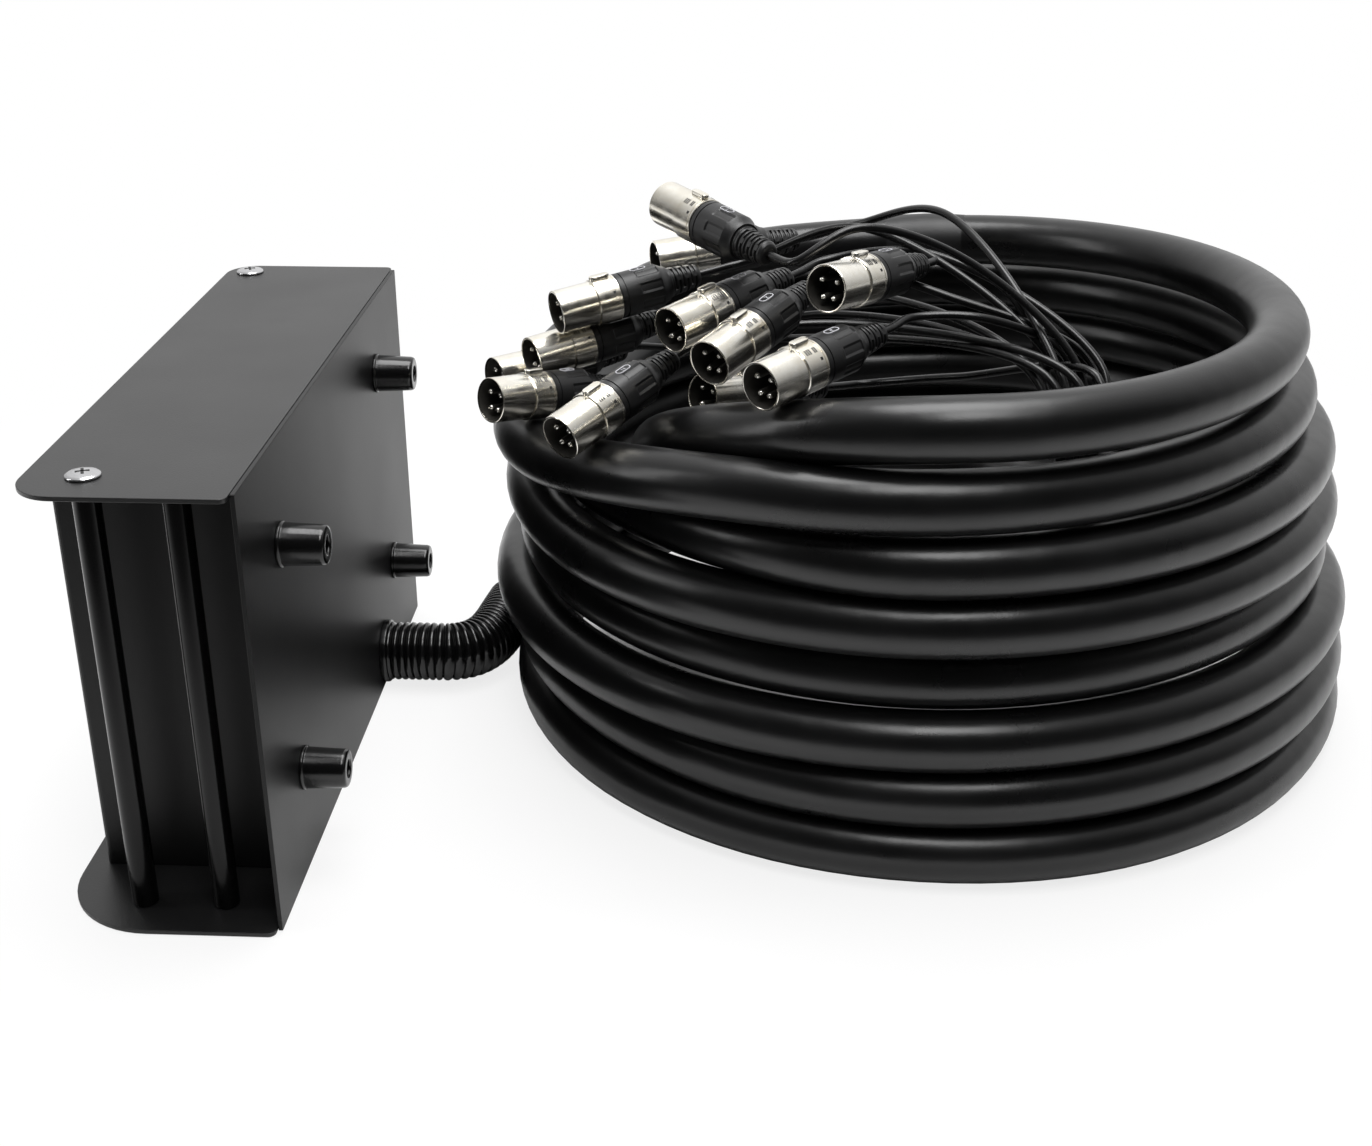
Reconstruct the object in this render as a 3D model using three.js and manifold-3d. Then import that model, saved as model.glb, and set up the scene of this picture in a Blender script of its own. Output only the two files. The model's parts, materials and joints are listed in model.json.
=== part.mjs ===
// Stage box snake: a sheet metal box with twelve four-pole chassis sockets, and the
// coiled multicore cable that leads from it to twelve four-pin cable plugs.
// Millimetres, +Z up. The box stands on its lower plate. The origin is on that plate's
// underside, midway between the socket panel and the base cover and between the ends.

import * as THREE from 'three';
import { mergeVertices } from 'three/addons/utils/BufferGeometryUtils.js';
import Module from 'manifold-3d';

const wasm = await Module();
wasm.setup();

// Box sizes
const BOX_HEIGHT = 180;
const BOX_LENGTH = 294.4;
const BOX_WIDTH = 81;
const PLATE_THICKNESS = 1.8;
const COVER_THICKNESS = 1.7;
const CHASSIS_THICKNESS = 1.5;
const SEAT_GAP = 0.3;
const OVERRUN = 1;
const UPPER_PLATE_INSET = 1.5;
const LOWER_PLATE_OVERHANG = 7.9;
const UPPER_NEAR_CORNER = 16.7;
const UPPER_FAR_CORNER = 13.7;
const LOWER_LEFT_CORNER = 37;
const RIGHT_CORNER = 3;
const COVER_END_INSET = 4.4;
const END_WALL_INSET = 43.7;
const RETURN_FLANGE = 22;
const BEND_RADIUS = 2.2;

// Handle bars and their screws
const BAR_DIAMETER = 10;
const NEAR_BAR_INSET = 19.2;
const FAR_BAR_INSET = 12.2;
const NEAR_OUTER_BAR_INSET = 23.5;
const FAR_OUTER_BAR_INSET = 12.7;
const INNER_BAR_INSET = 25.5;
const THREAD_DIAMETER = 5;
const THREAD_DEPTH = 14;
const SCREW_REACH = 10;
const HEAD_DIAMETER = 12.8;
const HEAD_HEIGHT = 1.9;
const HEAD_EDGE_HEIGHT = 0.6;
const HEAD_SHOULDER_DIAMETER = 10.9;
const HEAD_SHOULDER_HEIGHT = 1.4;
const HEAD_CROWN_DIAMETER = 6.4;
const HEAD_CROWN_HEIGHT = 1.8;
const FLUSH_HEAD_DIAMETER = 8;
const FLUSH_HEAD_DEPTH = 1.4;
const SCREW_CLEARANCE = 0.3;

// Feet
const FOOT_DIAMETER = 16.6;
const FOOT_END_DIAMETER = 15.2;
const FOOT_RIM_DIAMETER = 17.8;
const FOOT_RIM_HEIGHT = 1.2;
const FOOT_HEIGHT = 18;
const FOOT_CHAMFER = 1.3;
const FOOT_RECESS_DIAMETER = 7;
const FOOT_RECESS_DEPTH = 13;
const FOOT_SCREW_HOLE = 4.5;

// Chassis sockets and their push latches
const SOCKET_COLUMNS = 4;
const SOCKET_ROWS = 3;
const SOCKET_END_MARGIN = 18.5;
const SOCKET_EDGE_MARGIN = 24.5;
const FLANGE_WIDTH = 26;
const FLANGE_HEIGHT = 31;
const FLANGE_THICKNESS = 2.2;
const FLANGE_CORNER = 3;
const SOCKET_BODY_DIAMETER = 23.6;
const SOCKET_BODY_DEPTH = 22;
const SOCKET_CAVITY_DEPTH = 14;
const SOCKET_INSERT_DIAMETER = 15.4;
const SOCKET_INSERT_RECESS = 0.8;
const LATCH_TRAVEL = 1.5;
const LATCH_STEM_WIDTH = 6;
const LATCH_STEM_THICKNESS = 1.8;
const LATCH_STEM_LENGTH = 9;
const LATCH_TAB_WIDTH = 7.8;
const LATCH_TAB_HEIGHT = 4.2;
const LATCH_TAB_THICKNESS = 1.6;
const LATCH_HOUSING_WALL = 1;

// Cable plugs
const PLUG_MOUTH_DIAMETER = 18.6;
const PLUG_REAR_DIAMETER = 19.8;
const PLUG_BORE = 16.6;
const PLUG_CUP_DEPTH = 13;
const PLUG_SHELL_LENGTH = 31;
const PLUG_STEP_AT = 18.5;
const PLUG_LENGTH = 66;
const COLLAR_LENGTH = 17;
const COLLAR_DIAMETER = 19;
const GROOVE_DEPTH = 0.8;
const GROOVE_WIDTH = 1.4;
const BOOT_ROOT_DIAMETER = 13.4;
const BOOT_END_DIAMETER = 8.8;
const PIN_DIAMETER = 2.4;
const PIN_CIRCLE_DIAMETER = 8.8;
const PIN_RECESS = 1.6;
const KEY_LENGTH = 7;
const KEY_WIDTH = 3.2;
const KEY_HEIGHT = 0.7;
const MATING_CLEARANCE = 0.4;

// Trunk cable, hose and coil
const CABLE_DIAMETER = 24.2;
const TURN_GAP = 0.7;
const COIL_RADIUS = 170;
const COIL_X = 289.5;
const COIL_Y = 83;
const COIL_TURNS = 7.75;
const GLAND_INSET = 41.7;
const GLAND_Z = 15.5;
const GLAND_FLANGE_DIAMETER = 29.8;
const GLAND_FLANGE_THICKNESS = 3;
const GLAND_NECK_LENGTH = 9;
const GLAND_NECK_WALL = 0.9;
const CABLE_CLEARANCE = 0.2;
const HOSE_DIAMETER = 27;
const RIB_PITCH = 3.3;
const RIB_DEPTH = 0.9;
const SLEEVE_LENGTH = 36;
const SLEEVE_WALL = 0.9;
const SLEEVE_TURN = 6.52;

// Breakout sleeve and the twelve thin leads
const LEAD_DIAMETER = 3.3;
const BREAKOUT_LENGTH = 46;
const BREAKOUT_OVERLAP = 18;
const BREAKOUT_WALL = 1.6;
const BREAKOUT_TOP_DIAMETER = 20;
const LEAD_ROOT_DEPTH = 3;
const CORE_LEADS = 3;
const CORE_SPREAD = 2.4;
const OUTER_SPREAD = 6.4;

// Counts of flat facets on round forms
const FINE_SIDES = 18;
const ROUND_SIDES = 14;
const PLUG_SIDES = 12;
const SOCKET_SIDES = 12;
const SMALL_SIDES = 6;
const HOSE_SIDES = 8;
const CABLE_SIDES = 10;
const LEAD_SIDES = 8;
const COIL_SIDES = 6;
const LEAD_STEPS = 6;
const TRUNK_LEAD_STEPS = 10;
const STEPS_PER_TURN = 24;
const RIBS_PER_BORE_RING = 5;
const UPPER_ARC_STEPS = 3;
const LOWER_ARC_STEPS = 4;
const FOLD_ARC_STEPS = 2;
const FLANGE_ARC_STEPS = 1;
const MERGE_DISTANCE = 1e-4;

// Places worked out from the sizes
const HALF_LENGTH = BOX_LENGTH / 2;
const PANEL_FACE_X = -BOX_WIDTH / 2;
const COVER_FACE_X = BOX_WIDTH / 2;
const COVER_INNER_X = COVER_FACE_X - COVER_THICKNESS;
const END_WALL_Y = HALF_LENGTH - END_WALL_INSET;
const GLAND_Y = END_WALL_Y - GLAND_INSET;
const INSIDE_BOTTOM = PLATE_THICKNESS + SEAT_GAP;
const INSIDE_TOP = BOX_HEIGHT - PLATE_THICKNESS - SEAT_GAP;
const CAVITY_DIAMETER = PLUG_MOUTH_DIAMETER + 2 * MATING_CLEARANCE;
const CABLE_BORE = CABLE_DIAMETER + 2 * CABLE_CLEARANCE;
const TURN_PITCH = CABLE_DIAMETER + TURN_GAP;
const CHANNELS = SOCKET_ROWS * SOCKET_COLUMNS;
const GLAND_NECK_DIAMETER = CABLE_BORE + 2 * GLAND_NECK_WALL;
const HOSE_START_X = COVER_FACE_X + SEAT_GAP + GLAND_FLANGE_THICKNESS + SEAT_GAP;

// Materials
const paint = (color, roughness, metalness) =>
	new THREE.MeshStandardMaterial({ color, roughness, metalness });
const plateCoat = paint(0x3a3b3d, 0.55, 0.4);
const chassisCoat = paint(0x101012, 0.35, 0.4);
const chrome = paint(0xc8c9cb, 0.18, 1);
const darkScrew = paint(0x1c1c1e, 0.4, 0.8);
const rubber = paint(0x0e0e0f, 0.45, 0);
const hosePlastic = paint(0x131314, 0.4, 0);
const jacket = paint(0x17171a, 0.38, 0);
const shrink = paint(0x1d1d20, 0.5, 0);
const socketBlack = paint(0x18181a, 0.5, 0.3);
const latchSteel = paint(0x9a9b9e, 0.3, 1);
const nickel = paint(0xb9b4a8, 0.28, 1);

// Merge a geometry's equal vertices and drop its empty triangles
function closed(geometry) {
	const bare = geometry.clone();
	bare.deleteAttribute('normal');
	bare.deleteAttribute('uv');
	const merged = mergeVertices(bare, MERGE_DISTANCE);
	const kept = [];
	const index = merged.index.array;
	for (let i = 0; i < index.length; i += 3) {
		const [a, b, c] = [index[i], index[i + 1], index[i + 2]];
		if (a !== b && b !== c && c !== a) kept.push(a, b, c);
	}
	if (signedVolume(merged.attributes.position, kept) < 0) kept.reverse();
	merged.setIndex(kept);
	return merged;
}

// Volume inside a skin, below zero where its faces point in
function signedVolume(position, index) {
	const [a, b, c] = [new THREE.Vector3(), new THREE.Vector3(), new THREE.Vector3()];
	let sum = 0;
	for (let i = 0; i < index.length; i += 3) {
		a.fromBufferAttribute(position, index[i]);
		b.fromBufferAttribute(position, index[i + 1]);
		c.fromBufferAttribute(position, index[i + 2]);
		sum += a.dot(b.cross(c));
	}
	return sum / 6;
}

function toSolid(geometry) {
	const body = closed(geometry);
	return new wasm.Manifold(new wasm.Mesh({
		numProp: 3,
		vertProperties: new Float32Array(body.attributes.position.array),
		triVerts: new Uint32Array(body.index.array),
	}));
}

function toGeometry(solid) {
	const mesh = solid.getMesh();
	const geometry = new THREE.BufferGeometry();
	geometry.setAttribute('position', new THREE.BufferAttribute(mesh.vertProperties, 3));
	geometry.setIndex(new THREE.BufferAttribute(mesh.triVerts, 1));
	return geometry;
}

const joined = (...geometries) => toGeometry(
	geometries.map(toSolid).reduce((sum, solid) => sum.add(solid)));

const cut = (geometry, ...tools) => toGeometry(
	tools.map(toSolid).reduce((rest, solid) => rest.subtract(solid), toSolid(geometry)));

// Box with its corners at two points
function block(x0, x1, y0, y1, z0, z1) {
	const geometry = new THREE.BoxGeometry(x1 - x0, y1 - y0, z1 - z0);
	return geometry.translate((x0 + x1) / 2, (y0 + y1) / 2, (z0 + z1) / 2);
}

// Turned form about the Z axis, from pairs of radius and height
function turned(profile, sides) {
	const points = profile.map(([radius, height]) => new THREE.Vector2(radius, height));
	const geometry = closed(new THREE.LatheGeometry(points, sides));
	return geometry.rotateX(Math.PI / 2);
}

function rod(diameter, z0, z1, sides) {
	return turned([[0, z0], [diameter / 2, z0], [diameter / 2, z1], [0, z1]], sides);
}

// Rectangle with four corner radii, in the order near left, near right, far right, far left
function roundedOutline(x0, x1, y0, y1, radii) {
	const [nearLeft, nearRight, farRight, farLeft] = radii;
	const shape = new THREE.Shape();
	shape.moveTo(x0 + nearLeft, y0);
	shape.lineTo(x1 - nearRight, y0);
	shape.absarc(x1 - nearRight, y0 + nearRight, nearRight, -Math.PI / 2, 0);
	shape.lineTo(x1, y1 - farRight);
	shape.absarc(x1 - farRight, y1 - farRight, farRight, 0, Math.PI / 2);
	shape.lineTo(x0 + farLeft, y1);
	shape.absarc(x0 + farLeft, y1 - farLeft, farLeft, Math.PI / 2, Math.PI);
	shape.lineTo(x0, y0 + nearLeft);
	shape.absarc(x0 + nearLeft, y0 + nearLeft, nearLeft, Math.PI, 1.5 * Math.PI);
	return shape;
}

function extruded(shape, z0, z1, arcSteps) {
	const geometry = new THREE.ExtrudeGeometry(shape, {
		depth: z1 - z0,
		bevelEnabled: false,
		curveSegments: arcSteps,
	});
	return geometry.translate(0, 0, z0);
}

// Closed skin over a list of rings of points, all with as many points
function skinned(rings, hollow) {
	const sides = rings[0].length;
	const position = rings.flat().flatMap((point) => [point.x, point.y, point.z]);
	const index = [];
	const span = (a, b) => {
		for (let j = 0; j < sides; j++) {
			const k = (j + 1) % sides;
			index.push(a * sides + j, a * sides + k, b * sides + j);
			index.push(a * sides + k, b * sides + k, b * sides + j);
		}
	};
	for (let i = 0; i + 1 < rings.length; i++) span(i, i + 1);
	const last = rings.length - 1;
	if (hollow) {
		span(last, 0);
	} else {
		for (let j = 1; j + 1 < sides; j++) {
			index.push(0, j + 1, j);
			index.push(last * sides, last * sides + j, last * sides + j + 1);
		}
	}
	const geometry = new THREE.BufferGeometry();
	geometry.setAttribute('position', new THREE.Float32BufferAttribute(position, 3));
	geometry.setIndex(index);
	return geometry;
}

// Frames carried along a line of points without twist
function framesAlong(points) {
	const frames = [];
	let side = new THREE.Vector3(0, 0, 1);
	points.forEach((point, i) => {
		const before = points[Math.max(i - 1, 0)];
		const after = points[Math.min(i + 1, points.length - 1)];
		const tangent = after.clone().sub(before).normalize();
		const up = side.clone().addScaledVector(tangent, -side.dot(tangent)).normalize();
		const across = tangent.clone().cross(up);
		side = up;
		frames.push({ point, tangent, up, across });
	});
	return frames;
}

function ring(frame, radius, sides) {
	return Array.from({ length: sides }, (_, j) => {
		const angle = (2 * Math.PI * j) / sides;
		return frame.point.clone()
			.addScaledVector(frame.up, radius * Math.cos(angle))
			.addScaledVector(frame.across, radius * Math.sin(angle));
	});
}

// Plain tube along a smooth line through chosen points
function cordTube(points, diameter, sides, steps) {
	const section = new THREE.Shape();
	section.absarc(0, 0, diameter / 2, 0, 2 * Math.PI);
	const path = new THREE.CatmullRomCurve3(points, false, 'centripetal');
	return new THREE.ExtrudeGeometry(section, {
		steps,
		curveSegments: sides / 2,
		extrudePath: path,
	});
}

const smooth = (share) => {
	const t = Math.min(Math.max(share, 0), 1);
	return t * t * (3 - 2 * t);
};

// Smooth rise from 0 to 1 between two values
const rise = (at, [from, to]) => smooth((at - from) / (to - from));

const stage = new THREE.Group();

function place(parent, name, geometry, material) {
	const mesh = new THREE.Mesh(closed(geometry), material);
	mesh.name = name;
	parent.add(mesh);
	return mesh;
}

// Handle bars, as [name, x, y, has a screw on top]
const nearBarY = -HALF_LENGTH + NEAR_BAR_INSET;
const farBarY = HALF_LENGTH - FAR_BAR_INSET;
const barPlaces = [
	['near_left', PANEL_FACE_X + NEAR_OUTER_BAR_INSET, nearBarY, true],
	['near_right', COVER_FACE_X - INNER_BAR_INSET, nearBarY, false],
	['far_left', PANEL_FACE_X + FAR_OUTER_BAR_INSET, farBarY, true],
	['far_right', COVER_FACE_X - INNER_BAR_INSET, farBarY, false],
];
const screwHole = THREAD_DIAMETER + 2 * SCREW_CLEARANCE;

// Side plates
function upperPlate() {
	const outline = roundedOutline(
		PANEL_FACE_X + UPPER_PLATE_INSET, COVER_INNER_X - SEAT_GAP, -HALF_LENGTH, HALF_LENGTH,
		[UPPER_NEAR_CORNER, RIGHT_CORNER, RIGHT_CORNER, UPPER_FAR_CORNER]);
	const plate = extruded(outline, BOX_HEIGHT - PLATE_THICKNESS, BOX_HEIGHT, UPPER_ARC_STEPS);
	const holes = barPlaces.filter(([, , , topScrew]) => topScrew).map(([, x, y]) =>
		rod(screwHole, BOX_HEIGHT - PLATE_THICKNESS - OVERRUN, BOX_HEIGHT + OVERRUN, ROUND_SIDES)
			.translate(x, y, 0));
	return cut(plate, ...holes);
}

function lowerPlate() {
	const outline = roundedOutline(
		PANEL_FACE_X - LOWER_PLATE_OVERHANG, COVER_INNER_X - SEAT_GAP, -HALF_LENGTH, HALF_LENGTH,
		[LOWER_LEFT_CORNER, RIGHT_CORNER, RIGHT_CORNER, LOWER_LEFT_CORNER]);
	const plate = extruded(outline, 0, PLATE_THICKNESS, LOWER_ARC_STEPS);
	const sink = (FLUSH_HEAD_DIAMETER / 2) + SCREW_CLEARANCE;
	const holes = barPlaces.map(([, x, y]) => turned([
		[0, -OVERRUN], [sink, -OVERRUN], [sink, 0], [screwHole / 2, FLUSH_HEAD_DEPTH],
		[screwHole / 2, PLATE_THICKNESS + OVERRUN], [0, PLATE_THICKNESS + OVERRUN],
	], ROUND_SIDES).translate(x, y, 0));
	return cut(plate, ...holes);
}

// Handle bars with a tapped hole in each screwed end
function handleBar(topScrew) {
	const bar = rod(BAR_DIAMETER, INSIDE_BOTTOM, INSIDE_TOP, ROUND_SIDES);
	const lower = rod(screwHole, INSIDE_BOTTOM - OVERRUN, INSIDE_BOTTOM + THREAD_DEPTH, ROUND_SIDES);
	const upper = rod(screwHole, INSIDE_TOP - THREAD_DEPTH, INSIDE_TOP + OVERRUN, ROUND_SIDES);
	return topScrew ? cut(bar, lower, upper) : cut(bar, lower);
}

// Domed screw that stands on the upper plate
function domedScrew() {
	const under = BOX_HEIGHT + SEAT_GAP;
	const head = HEAD_DIAMETER / 2;
	const shank = THREAD_DIAMETER / 2;
	return turned([
		[0, INSIDE_TOP - SCREW_REACH], [shank, INSIDE_TOP - SCREW_REACH], [shank, under],
		[head, under], [head, under + HEAD_EDGE_HEIGHT],
		[HEAD_SHOULDER_DIAMETER / 2, under + HEAD_SHOULDER_HEIGHT],
		[HEAD_CROWN_DIAMETER / 2, under + HEAD_CROWN_HEIGHT], [0, under + HEAD_HEIGHT],
	], ROUND_SIDES);
}

// Flush screw in the lower plate's countersink
function flushScrew() {
	const head = FLUSH_HEAD_DIAMETER / 2;
	const shank = THREAD_DIAMETER / 2;
	return turned([
		[0, SEAT_GAP / 2], [head, SEAT_GAP / 2], [shank, FLUSH_HEAD_DEPTH + SEAT_GAP / 2],
		[shank, INSIDE_BOTTOM + SCREW_REACH], [0, INSIDE_BOTTOM + SCREW_REACH],
	], ROUND_SIDES);
}

// Feet, with their places as shares of half the length and of the height
const footPlaceShares = {
	near_top: [-0.637, 0.778],
	far_top: [0.586, 0.815],
	near_bottom: [-0.63, 0.237],
	far_bottom: [0.644, 0.267],
};

function foot() {
	const recess = FOOT_RECESS_DIAMETER / 2;
	const end = FOOT_END_DIAMETER / 2;
	return turned([
		[0, 0], [FOOT_RIM_DIAMETER / 2, 0], [FOOT_RIM_DIAMETER / 2, FOOT_RIM_HEIGHT],
		[FOOT_DIAMETER / 2, FOOT_RIM_HEIGHT], [end, FOOT_HEIGHT - FOOT_CHAMFER],
		[end - FOOT_CHAMFER, FOOT_HEIGHT], [recess, FOOT_HEIGHT],
		[recess, FOOT_HEIGHT - FOOT_RECESS_DEPTH], [0, FOOT_HEIGHT - FOOT_RECESS_DEPTH],
	], ROUND_SIDES).rotateY(Math.PI / 2);
}

// Folded connector panel: the panel, both end walls and the return flanges
const outerSocketY = END_WALL_Y - SOCKET_END_MARGIN - FLANGE_WIDTH / 2;
const outerSocketRise = BOX_HEIGHT / 2 - SOCKET_EDGE_MARGIN - FLANGE_HEIGHT / 2;
const socketY = (column) => (2 * column / (SOCKET_COLUMNS - 1) - 1) * outerSocketY;
const socketZ = (row) => BOX_HEIGHT / 2 + (1 - 2 * row / (SOCKET_ROWS - 1)) * outerSocketRise;
const housingTop = CAVITY_DIAMETER / 2 + LATCH_HOUSING_WALL + LATCH_STEM_THICKNESS
	+ 2 * SEAT_GAP + LATCH_HOUSING_WALL;
const housingHalfWidth = LATCH_STEM_WIDTH / 2 + SEAT_GAP + LATCH_HOUSING_WALL;

function connectorPanel() {
	const x0 = PANEL_FACE_X;
	const x1 = COVER_INNER_X - SEAT_GAP;
	const y1 = END_WALL_Y;
	const wall = CHASSIS_THICKNESS;
	const outer = roundedOutline(x0, x1, -y1, y1, Array(4).fill(BEND_RADIUS));
	const skin = extruded(outer, INSIDE_BOTTOM, INSIDE_TOP, FOLD_ARC_STEPS);
	const inner = extruded(
		roundedOutline(x0 + wall, x1 - wall, -y1 + wall, y1 - wall, Array(4).fill(BEND_RADIUS - wall)),
		INSIDE_BOTTOM - OVERRUN, INSIDE_TOP + OVERRUN, FOLD_ARC_STEPS);
	const gap = block(x1 - 2 * wall, x1 + OVERRUN, -y1 + RETURN_FLANGE, y1 - RETURN_FLANGE,
		INSIDE_BOTTOM - OVERRUN, INSIDE_TOP + OVERRUN);
	const footHoles = Object.values(footPlaceShares).map(([along, up]) =>
		rod(FOOT_SCREW_HOLE, -2 * wall, OVERRUN, SMALL_SIDES).rotateY(Math.PI / 2)
			.translate(x1, along * HALF_LENGTH, up * BOX_HEIGHT));
	const holes = [];
	for (let row = 0; row < SOCKET_ROWS; row++) {
		for (let column = 0; column < SOCKET_COLUMNS; column++) {
			const round = rod(SOCKET_BODY_DIAMETER + 2 * SEAT_GAP, -OVERRUN, wall + OVERRUN, SOCKET_SIDES)
				.rotateY(Math.PI / 2);
			const notch = block(-OVERRUN, wall + OVERRUN, -housingHalfWidth - SEAT_GAP,
				housingHalfWidth + SEAT_GAP, 0, housingTop + SEAT_GAP);
			holes.push(joined(round, notch).translate(x0, socketY(column), socketZ(row)));
		}
	}
	return cut(skin, inner, gap, ...footHoles, ...holes);
}

// Flat base cover with the holes for the gland and the foot screws
function baseCover() {
	const y1 = HALF_LENGTH - COVER_END_INSET;
	const plate = block(COVER_INNER_X, COVER_FACE_X, -y1, y1, 0, BOX_HEIGHT);
	const glandHole = rod(GLAND_NECK_DIAMETER + SEAT_GAP, -OVERRUN, COVER_THICKNESS + OVERRUN, FINE_SIDES)
		.rotateY(Math.PI / 2).translate(COVER_INNER_X, GLAND_Y, GLAND_Z);
	const footHoles = Object.values(footPlaceShares).map(([along, up]) =>
		rod(FOOT_SCREW_HOLE, -OVERRUN, COVER_THICKNESS + OVERRUN, SMALL_SIDES).rotateY(Math.PI / 2)
			.translate(COVER_INNER_X, along * HALF_LENGTH, up * BOX_HEIGHT));
	return cut(plate, glandHole, ...footHoles);
}

// Cable gland: a flange outside the cover and a neck through it
function cableGland() {
	const bore = CABLE_BORE / 2;
	const neck = GLAND_NECK_DIAMETER / 2;
	const flange = GLAND_FLANGE_DIAMETER / 2;
	const neckStart = -COVER_THICKNESS - GLAND_NECK_LENGTH;
	const end = SEAT_GAP + GLAND_FLANGE_THICKNESS;
	return turned([
		[bore, neckStart], [neck, neckStart], [neck, SEAT_GAP], [flange, SEAT_GAP],
		[flange, end - SEAT_GAP], [flange - SEAT_GAP, end], [bore, end], [bore, neckStart],
	], FINE_SIDES).rotateY(Math.PI / 2);
}

// Chassis socket. Its local Z points out of the panel and its local Y points up.
const flangeFace = SEAT_GAP + FLANGE_THICKNESS;
const slotBottom = CAVITY_DIAMETER / 2 + LATCH_HOUSING_WALL;
const slotTop = slotBottom + LATCH_STEM_THICKNESS + 2 * SEAT_GAP;

function socket() {
	const flange = extruded(roundedOutline(-FLANGE_WIDTH / 2, FLANGE_WIDTH / 2, -FLANGE_HEIGHT / 2,
		FLANGE_HEIGHT / 2, Array(4).fill(FLANGE_CORNER)), SEAT_GAP, flangeFace, FLANGE_ARC_STEPS);
	const body = rod(SOCKET_BODY_DIAMETER, -SOCKET_BODY_DEPTH, flangeFace - SEAT_GAP, SOCKET_SIDES);
	const housing = block(-housingHalfWidth, housingHalfWidth, 0, housingTop,
		-LATCH_STEM_LENGTH - LATCH_TRAVEL - 2 * LATCH_HOUSING_WALL, flangeFace - SEAT_GAP);
	const floor = flangeFace - SOCKET_CAVITY_DEPTH;
	const insertFace = flangeFace - SOCKET_INSERT_RECESS;
	const cavity = turned([
		[0, insertFace], [SOCKET_INSERT_DIAMETER / 2, insertFace], [SOCKET_INSERT_DIAMETER / 2, floor],
		[CAVITY_DIAMETER / 2, floor], [CAVITY_DIAMETER / 2, flangeFace + OVERRUN],
		[0, flangeFace + OVERRUN],
	], SOCKET_SIDES);
	const slot = block(-LATCH_STEM_WIDTH / 2 - SEAT_GAP, LATCH_STEM_WIDTH / 2 + SEAT_GAP,
		slotBottom, slotTop, -LATCH_STEM_LENGTH - LATCH_TRAVEL - SEAT_GAP, flangeFace + OVERRUN);
	return cut(joined(flange, body, housing), cavity, slot);
}

// Push latch: a tab over the flange on a stem that slides in the housing
function pushLatch() {
	const tabBottom = flangeFace + LATCH_TRAVEL + SEAT_GAP;
	const tabMiddle = (slotBottom + slotTop) / 2;
	const stem = block(-LATCH_STEM_WIDTH / 2, LATCH_STEM_WIDTH / 2,
		slotBottom + SEAT_GAP, slotTop - SEAT_GAP, -LATCH_STEM_LENGTH, tabBottom + SEAT_GAP);
	const tab = block(-LATCH_TAB_WIDTH / 2, LATCH_TAB_WIDTH / 2, tabMiddle - LATCH_TAB_HEIGHT / 2,
		tabMiddle + LATCH_TAB_HEIGHT / 2, tabBottom, tabBottom + LATCH_TAB_THICKNESS);
	return joined(stem, tab);
}

// Four pins of a plug: two close ones and two wide ones, as angles from the top
const pinAngles = [52, 148, 212, 308].map((degrees) => THREE.MathUtils.degToRad(degrees));

function pinRods(z0, z1) {
	return pinAngles.map((angle) => rod(PIN_DIAMETER, z0, z1, SMALL_SIDES).translate(
		(PIN_CIRCLE_DIAMETER / 2) * Math.sin(angle), (PIN_CIRCLE_DIAMETER / 2) * Math.cos(angle), 0));
}

// Cable plug along its local Z, from the mouth at zero to the end of the boot
function plug() {
	const mouth = PLUG_MOUTH_DIAMETER / 2;
	const rear = PLUG_REAR_DIAMETER / 2;
	const bore = PLUG_BORE / 2;
	const lip = mouth - bore;
	const collar = COLLAR_DIAMETER / 2;
	const collarEnd = PLUG_SHELL_LENGTH + COLLAR_LENGTH;
	const shell = turned([
		[0, PLUG_CUP_DEPTH], [bore, PLUG_CUP_DEPTH], [bore, 0], [mouth, 0], [mouth, PLUG_STEP_AT],
		[rear, PLUG_STEP_AT + lip / 2], [rear, PLUG_SHELL_LENGTH],
		[collar - GROOVE_DEPTH, PLUG_SHELL_LENGTH],
		[collar, PLUG_SHELL_LENGTH + GROOVE_WIDTH], [collar - GROOVE_DEPTH, collarEnd],
		[BOOT_ROOT_DIAMETER / 2, collarEnd + GROOVE_WIDTH],
		[BOOT_END_DIAMETER / 2, PLUG_LENGTH], [0, PLUG_LENGTH],
	], PLUG_SIDES);
	const pins = pinRods(PIN_RECESS, PLUG_CUP_DEPTH + OVERRUN);
	const bossEnd = PLUG_SHELL_LENGTH - KEY_WIDTH / 2;
	const boss = extruded(roundedOutline(-KEY_WIDTH / 2, KEY_WIDTH / 2, -bossEnd,
		KEY_LENGTH - bossEnd, Array(4).fill(KEY_WIDTH / 2)), 0, rear + KEY_HEIGHT, FLANGE_ARC_STEPS)
		.rotateX(-Math.PI / 2);
	return joined(shell, ...pins, boss);
}

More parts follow.
